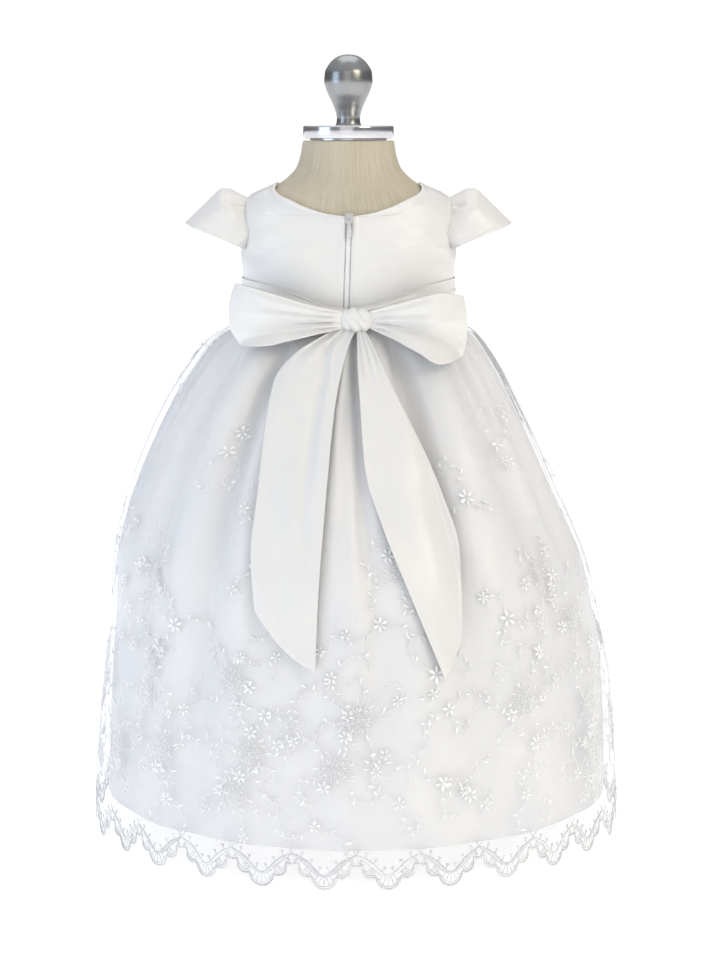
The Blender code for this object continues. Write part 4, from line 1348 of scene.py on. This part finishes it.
@dataclass
class Sash:
    """The satin band over the waist seam, in three lengths with soft creases along it."""

    surface: FormSurface
    wall: float = 0.0010
    side_gap: float = 0.12
    seams: tuple[float, float, float] = (6.0, 90.0, 270.0)
    bottom: float = 0.4472
    shape: Rows = Rows("z lift", (0.4472, 0.0061), (0.4550, 0.0056), (0.4680, 0.0033), (0.4840, 0.0021))
    top: Rows = Rows(
        "away z",
        (0.0, 0.4600), (18.0, 0.4640), (35.0, 0.4720), (52.0, 0.4790), (68.0, 0.4825), (90.0, 0.4840))

    def band(self, start: float, end: float) -> np.ndarray:
        """A length of the band between two angles, drawn down to the knot at the back."""
        columns = int((end - start) * 0.8) + 2
        angle = np.linspace(start + self.side_gap, end - self.side_gap, columns)[None, :]
        away = np.abs((angle + 180) % 360 - 180)
        share = np.linspace(0, 1, 44)[:, None]
        z = self.bottom + share * (self.top.at("z", away) - self.bottom)
        drift = 0.05 * np.sin(np.radians(angle * 3 + 20))
        crease = 0.0006 * bump(share, 0.74 + drift, 0.045) - 0.0003 * bump(share, 0.64 + drift, 0.035)
        crease = crease + 0.0007 * bump(share, 0.36 - 0.7 * drift, 0.055)
        pleats = 0.0006 * (1 + np.cos(TURN * 3.6 * share + 0.03 * away)) * fade(away, 62, 12)
        hem = 0.0003 * (bump(share, 0.0, 0.03) + bump(share, 1.0, 0.03))
        return self.surface.at(angle, z, self.shape.at("lift", z) + crease + pleats + hem)

    def build(self, room: Workroom) -> None:
        """Makes the three lengths."""
        seam, right, left = self.seams
        spans = {"front": (right, left), "back_right": (seam, right), "back_left": (left - 360, seam)}
        for name, (start, end) in spans.items():
            room.cloth(f"waist_band_{name}", [self.band(start, end)], [f"sash_{name}"], self.wall)


@dataclass
class Bow:
    """The bow over the zip's foot: a wound knot, two loops and two tails that rest on the net."""

    skirt: SkirtShape
    wall: float = 0.0010
    knot_centre: tuple[float, float, float] = (0.0070, -0.0806, 0.4520)
    knot_half: tuple[float, float, float] = (0.0135, 0.0072, 0.0102)
    tucked: float = 0.84
    rest_gap: float = 0.0010
    rest_blend: float = 0.0030
    tail_top_stand: float = 0.0790
    lengths: tuple[float, float] = (0.0945, 0.0815)
    ends: tuple[tuple[float, float, float], ...] = (
        # how far a loop's end swells, is rounded and droops
        (0.022, 0.062, 0.040), (0.008, 0.040, 0.010),
    )
    hills: float = 1500.0
    wound: tuple[tuple[float, float, float], ...] = (
        # a fold of the knot: its middle, width and height
        (-0.78, 0.13, -0.16), (-0.48, 0.20, 0.10), (-0.12, 0.10, -0.12),
        (0.20, 0.24, 0.10), (0.52, 0.08, -0.13), (0.80, 0.16, 0.05),
    )
    rays: tuple[tuple[float, float, float, float, float], ...] = (
        # middle across the loop, its drift outwards, width, height, reach
        (0.80, 0.10, 0.050, 0.0016, 0.95), (0.66, 0.06, 0.040, -0.0015, 0.80),
        (0.54, 0.05, 0.055, 0.0024, 1.00), (0.40, -0.04, 0.045, -0.0018, 0.75),
        (0.27, -0.08, 0.050, 0.0018, 0.90), (0.13, -0.03, 0.040, -0.0010, 0.60),
    )
    left_loop: Rows = Rows(
        "out top bottom",
        (0.00, 0.4590, 0.4450), (0.25, 0.4640, 0.4410), (0.50, 0.4705, 0.4360),
        (0.75, 0.4770, 0.4315), (1.00, 0.4822, 0.4300))
    right_loop: Rows = Rows(
        "out top bottom",
        (0.00, 0.4595, 0.4450), (0.25, 0.4650, 0.4370), (0.50, 0.4705, 0.4270),
        (0.75, 0.4745, 0.4175), (1.00, 0.4715, 0.4205))
    loop_form: Rows = Rows(
        "out stand half_depth crease",
        (0.00, 0.0795, 0.0020, 0.0000), (0.15, 0.0800, 0.0042, 0.0008), (0.35, 0.0800, 0.0072, 0.0014),
        (0.60, 0.0780, 0.0080, 0.0013), (0.85, 0.0720, 0.0056, 0.0008), (0.95, 0.0680, 0.0030, 0.0004),
        (1.00, 0.0665, 0.0000, 0.0002))
    left_tail: Rows = Rows(
        "along left_x left_z right_x right_z",
        (0.00, -0.0080, 0.4470, 0.0065, 0.4433), (0.06, -0.0200, 0.4400, 0.0010, 0.4330),
        (0.14, -0.0420, 0.4270, -0.0050, 0.4130), (0.26, -0.0610, 0.4040, -0.0105, 0.3850),
        (0.40, -0.0680, 0.3680, -0.0150, 0.3440), (0.60, -0.0735, 0.3180, -0.0195, 0.2930),
        (0.80, -0.0785, 0.2700, -0.0235, 0.2400), (1.00, -0.0750, 0.2265, -0.0260, 0.1801))
    right_tail: Rows = Rows(
        "along left_x left_z right_x right_z",
        (0.00, 0.0075, 0.4433, 0.0140, 0.4433), (0.06, 0.0078, 0.4330, 0.0200, 0.4330),
        (0.14, 0.0085, 0.4130, 0.0300, 0.4120), (0.26, 0.0105, 0.3800, 0.0440, 0.3850),
        (0.40, 0.0145, 0.3350, 0.0600, 0.3540), (0.60, 0.0280, 0.2930, 0.0780, 0.3140),
        (0.80, 0.0530, 0.2340, 0.0915, 0.2670), (1.00, 0.0785, 0.1734, 0.0925, 0.2060))

    def stand(self, least: Floats, x: Floats, z: Floats, spare: Floats) -> Floats:
        """How far behind the centre a part stands so that it rests on the net's folds."""
        rows = self.skirt.rows
        x, z = np.broadcast_arrays(x, z)
        depth = rows.at("half_width", z) * rows.at("depth_share", z)
        power = rows.at("squareness", z)
        share = np.clip((x - rows.at("centre_x", z)) / rows.at("half_width", z), -0.98, 0.98)
        smooth = depth * (1 - np.abs(share) ** power) ** (1 / power)
        angle = np.degrees(np.arctan2(x - rows.at("centre_x", z), smooth))
        hills = [rows.at("fold", z) * self.skirt.folded(angle + k) - self.skirt.gathered(angle + k, z, 0.0)
                 for k in np.linspace(-5, 5, 7)]
        swell = np.log(np.mean(np.exp(self.hills * np.array(hills)), axis=0)) / self.hills + 0.0013
        net = smooth + swell + spare + self.rest_gap
        return (least + net + np.sqrt((least - net) ** 2 + self.rest_blend**2)) / 2

    def loop(self, left: bool) -> np.ndarray:
        """A loop: out from the knot behind, round the fold, and back in front, with its creases."""
        side, edges = (-1, self.left_loop) if left else (1, self.right_loop)
        length, (swell, round_, droop) = self.lengths[0 if left else 1], self.ends[0 if left else 1]
        start = self.knot_centre[0] + side * self.knot_half[0] * self.tucked
        way = np.sin(np.linspace(0, math.pi / 2, 34))
        out = np.concatenate([way, way[-2::-1]])[:, None]
        layer = np.concatenate([-np.ones(33), [0.0], np.ones(33)])[:, None]
        across = np.linspace(0, 1, 40)[None, :]
        top, bottom = edges.at("top", out), edges.at("bottom", out)
        shape = 1 + swell - round_ * (2 * across - 1) ** 2 - droop * fade(across, 0.28, 0.0)
        x = start + side * length * out * (1 + (shape - 1) * out)
        z = bottom + (top - bottom) * across
        depth = self.loop_form.at("half_depth", out)
        wide = self.loop_form.at("crease", out) * np.cos(TURN * 1.5 * across)
        close = 0.0011 * np.cos(TURN * 4.0 * across + 0.7)
        close = close * fade(out, 0.50, 0.05) * fade(out, 0.0, 0.12)
        rays = 0.0 * across
        for centre, drift, width, height, reach in self.rays:
            ray = bump(across, centre + drift * out, width * (0.6 + 0.8 * out))
            rays = rays + height * ray * fade(out, reach, reach * 0.55) * fade(out, 0.02, 0.16)
        press = np.where(layer > 0, rays + close, close * 0.5)
        hem = np.where(layer > 0, -0.00025 * (bump(across, 0.045, 0.012) + bump(across, 0.955, 0.012)), 0.0)
        stand = self.stand(self.loop_form.at("stand", out), x, z, depth + 0.0014)
        return np.stack([x, -(stand + layer * depth + wide + press + hem), z], axis=-1)

    def tail(self, left: bool) -> np.ndarray:
        """A tail: from under the knot, pleated at first, spreading over the net to its slanted end."""
        edges = self.left_tail if left else self.right_tail
        along, across = (np.linspace(0, 1, 110) ** 1.3)[:, None], np.linspace(0, 1, 44)[None, :]
        left_x, left_z = edges.at("left_x", along), edges.at("left_z", along)
        x = left_x + (edges.at("right_x", along) - left_x) * across
        z = left_z + (edges.at("right_z", along) - left_z) * across
        z = z - (0.0075 if left else 0.0030) * np.sin(math.pi * across) * fade(along, 0.55, 1.0)
        pleat = 0.0012 * (1 + np.cos(TURN * 3.0 * across + 0.5)) * bump(along, 0.09, 0.10)
        sway = 0.0013 * (1 + np.sin(TURN * (0.80 * across + 0.9 * along) + (0.3 if left else 2.0)))
        sway = sway + 0.0006 * (1 + np.sin(TURN * (1.7 * across - 1.3 * along) + 1.1))
        sway = sway * fade(along, 0.08, 0.40) * (0.45 + 0.55 * along)
        hem = 0.0003 * (fade(across, 0.065, 0.045) + fade(across, 0.935, 0.955))
        end = 0.0003 * fade(along, 0.966, 0.975)
        stand = self.stand(self.tail_top_stand, x, z, 0.0)
        return np.stack([x, -(stand + pleat + sway + np.maximum(hem, end)), z], axis=-1)

    def knot(self, room: Workroom) -> bpy.types.Object:
        """The knot: a soft barrel of cloth wound round the bow's middle."""
        room.clear()
        bpy.ops.mesh.primitive_uv_sphere_add(segments=72, ring_count=48, radius=1.0,
                                             rotation=(0, math.pi / 2, 0))
        piece = bpy.context.object
        bpy.ops.object.transform_apply(location=False, rotation=True, scale=False)
        points = np.array([v.co for v in piece.data.vertices])
        lift = np.clip(points[:, 0], -1, 1)
        turn = np.arctan2(points[:, 2], points[:, 1])
        ring = (1 - np.abs(lift) ** 3.0) ** 0.45
        slant = lift + 0.42 * np.sin(turn) - 0.10 * np.sin(2 * turn)
        folds = 0.0 * lift
        for centre, width, height in self.wound:
            folds = folds + height * bump(slant, centre, width)
        size = ring * (0.95 + folds * ring)
        half, centre = np.array(self.knot_half), np.array(self.knot_centre)
        shaped = np.stack([
            half[0] * lift, half[1] * size * np.cos(turn), half[2] * size * np.sin(turn)], axis=1)
        piece.data.vertices.foreach_set("co", (shaped + centre).astype(np.float32).ravel())
        piece.data.update()
        piece.name = piece.data.name = "knot"
        room.spread(piece.data, np.stack([turn * 0.008, lift * 0.012], axis=1))
        return piece

    def build(self, room: Workroom) -> None:
        """Makes the knot, the loops and the tails."""
        knot = self.knot(room)
        room.finish(knot, Finish.SATIN)
        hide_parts("bow_knot")
        for name, left in (("left", True), ("right", False)):
            room.cloth(f"loop_{name}", [self.loop(left)], [f"bow_loop_{name}"], self.wall)
            room.cloth(f"tail_{name}", [self.tail(left)], [f"bow_tail_{name}"], self.wall)


# The zip


@dataclass
class Zip:
    """The centre-back zip: tape, two rows of coil, slider and pull."""

    surface: FormSurface
    lean: Rows = ZIP_LEAN
    bottom: float = 0.4530
    top: float = 0.5345
    pitch: float = 0.0012
    tooth: tuple[float, float, float] = (0.0021, 0.0011, 0.00105)

    def place(self, offset: Floats, z: Floats, lift: Floats) -> np.ndarray:
        """Points beside the zip's leaning line."""
        x = self.lean.at("x", z) + offset
        return self.surface.at(np.degrees(x / self.surface.rows.at("back", z)), z, lift)

    def tape(self, room: Workroom) -> None:
        """The woven tape under the bodice's edges."""
        grid = self.place(np.linspace(-0.0085, 0.0085, 23)[None, :],
                          np.linspace(0.4530, 0.5362, 90)[:, None], 0.00005)
        piece = room.lay("zip_tape", grid)
        room.apply(piece, "SOLIDIFY", thickness=0.0002, offset=0.0)
        room.finish(piece, Finish.ZIP)

    def coil(self, room: Workroom) -> None:
        """The coil's turns, one modelled and the rest copied up both edges."""
        room.clear()
        bpy.ops.mesh.primitive_cube_add(size=1.0)
        piece = bpy.context.object
        room.edit(partial(bpy.ops.transform.resize, value=self.tooth),
                  partial(bpy.ops.mesh.bevel, offset=0.00028, segments=2))
        turns = []
        count = int((self.top - self.bottom) / self.pitch)
        for side in (-1, 1):
            for k in range(count):
                z = self.bottom + (k + 0.5 + 0.25 * side) * self.pitch
                copy = piece.copy()
                copy.data = piece.data.copy()
                bpy.context.scene.collection.objects.link(copy)
                copy.location = self.place(side * 0.00085, z, 0.0014)
                copy.rotation_euler = (0.0, side * 0.12, 0.0)
                turns.append(copy)
        bpy.data.objects.remove(piece, do_unlink=True)
        coil = room.join("zip_coil", turns)
        bpy.ops.object.transform_apply(location=True, rotation=True, scale=True)
        room.finish(coil, Finish.ZIP)
        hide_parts("zip_chain")

    def build(self, room: Workroom) -> None:
        """Makes the tape and coil, and gives the slider and pull rounded edges."""
        self.tape(room)
        self.coil(room)
        for node, name, bevel, body in (
            ("zip_slider", "slider", 0.00022, BODY), ("zip_pull", "pull_tab", 0.00020, "zip_pull"),
        ):
            piece = room.copy_of(node, name, bevel)
            room.finish(piece, Finish.ZIP_METAL, body)
            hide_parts(node)


# The studio


@dataclass
class Studio:
    """A pale floor, soft light from both sides and the photograph's camera."""

    camera_at: tuple[float, float, float] = (0.010, -2.112, 0.609)
    pitch: float = 81.8
    lens: float = 90.75
    sensor: float = 36.0
    floor_level: float = 0.92
    floor_glow: float = 0.64
    aim: tuple[float, float, float] = (0.0, 0.0, 0.32)
    seen: tuple[float, float, float, float] = (1.05, 1.05, 1.05, 1.0)
    bands: tuple[tuple[float, float], ...] = (
        # share of the way up from below to above, level
        (0.0, 0.55), (0.50, 0.16), (0.60, 0.30), (0.75, 0.62), (1.0, 0.75),
    )

    def build(self, room: Workroom) -> None:
        """Makes the floor, the lights, the surroundings and the camera."""
        self.floor(room)
        self.light("key", (1.35, -1.35, 1.50), 0.9, 12.8, (1.0, 0.89, 0.70))
        self.light("fill", (-1.8, -0.9, 0.8), 1.1, 8.2, (0.60, 0.76, 1.0))
        self.light("front", (-0.2, -2.4, 1.1), 1.5, 4.4, (0.97, 0.98, 1.0))
        self.light("top", (0.0, 0.5, 2.1), 1.4, 7.0, (1.0, 1.0, 1.0))
        self.surroundings()
        bpy.ops.object.camera_add(location=self.camera_at, rotation=(math.radians(self.pitch), 0.0, 0.0))
        camera = bpy.context.object
        camera.data.lens = self.lens
        camera.data.sensor_width = self.sensor
        bpy.context.scene.camera = camera
        bpy.context.scene.view_settings.view_transform = "Standard"
        bpy.context.scene.view_settings.look = "None"

    def floor(self, room: Workroom) -> None:
        """The floor, which is lit up enough to leave hardly a shadow."""
        room.clear()
        bpy.ops.mesh.primitive_plane_add(size=40.0)
        floor = bpy.context.object
        floor.name = "floor"
        shader = Shader("floor")
        speck = shader.noise(shader.place(), 6.0, 2.0)
        colour = shader.blend(speck, grey(self.floor_level - 0.01), grey(self.floor_level))
        shader.set(Base_Color=colour, Roughness=0.6, Emission_Color=(1.0, 1.0, 1.0, 1.0),
                   Emission_Strength=self.floor_glow)
        floor.data.materials.append(shader.owner)

    def light(self, name: str, place: tuple[float, float, float], size: float, power: float,
              colour: tuple[float, float, float]) -> None:
        """A square soft light turned to the gown."""
        turn = (Vector(self.aim) - Vector(place)).to_track_quat("-Z", "Y").to_euler()
        bpy.ops.object.light_add(type="AREA", location=place, rotation=turn)
        lamp = bpy.context.object
        lamp.name = name
        lamp.data.size, lamp.data.energy, lamp.data.color = size, power, colour

    def surroundings(self) -> None:
        """A white surround as the camera sees it, with darker bands for the metal to reflect."""
        shader = Shader("studio", world=True)
        bpy.context.scene.world = shader.owner
        height = shader.part(shader.node("ShaderNodeTexCoord", {}, {}, "Generated"), "Z")
        share = shader.node("ShaderNodeMath", {"operation": "MULTIPLY_ADD"}, {0: height, 1: 0.5, 2: 0.5})
        stops = [(place, (level, level, level * 1.01, 1.0)) for place, level in self.bands]
        around = shader.node("ShaderNodeValToRGB", {"stops": stops}, {"Fac": share})
        seen = shader.node("ShaderNodeLightPath", {}, {}, "Is Camera Ray")
        shader.set(Color=shader.blend(seen, around, self.seen))


def main() -> None:
    """Builds the gown and its form in order, then the studio."""
    logging.basicConfig(level=logging.INFO, format="%(message)s")
    room = Workroom()
    surface, skirt = FormSurface(), SkirtShape()
    bodice = Bodice(surface)
    DressForm(surface).build(room)
    bodice.build(room)
    CapSleeves(bodice).build(room)
    Skirts(skirt).build(room)
    Sash(surface).build(room)
    Bow(skirt).build(room)
    Zip(surface).build(room)
    needlework = Needlework(skirt)
    needlework.model(room)
    Flowers(needlework).build(room)
    LaceEdge(needlework).build(room)
    Studio().build(room)


if __name__ == "__main__":
    main()
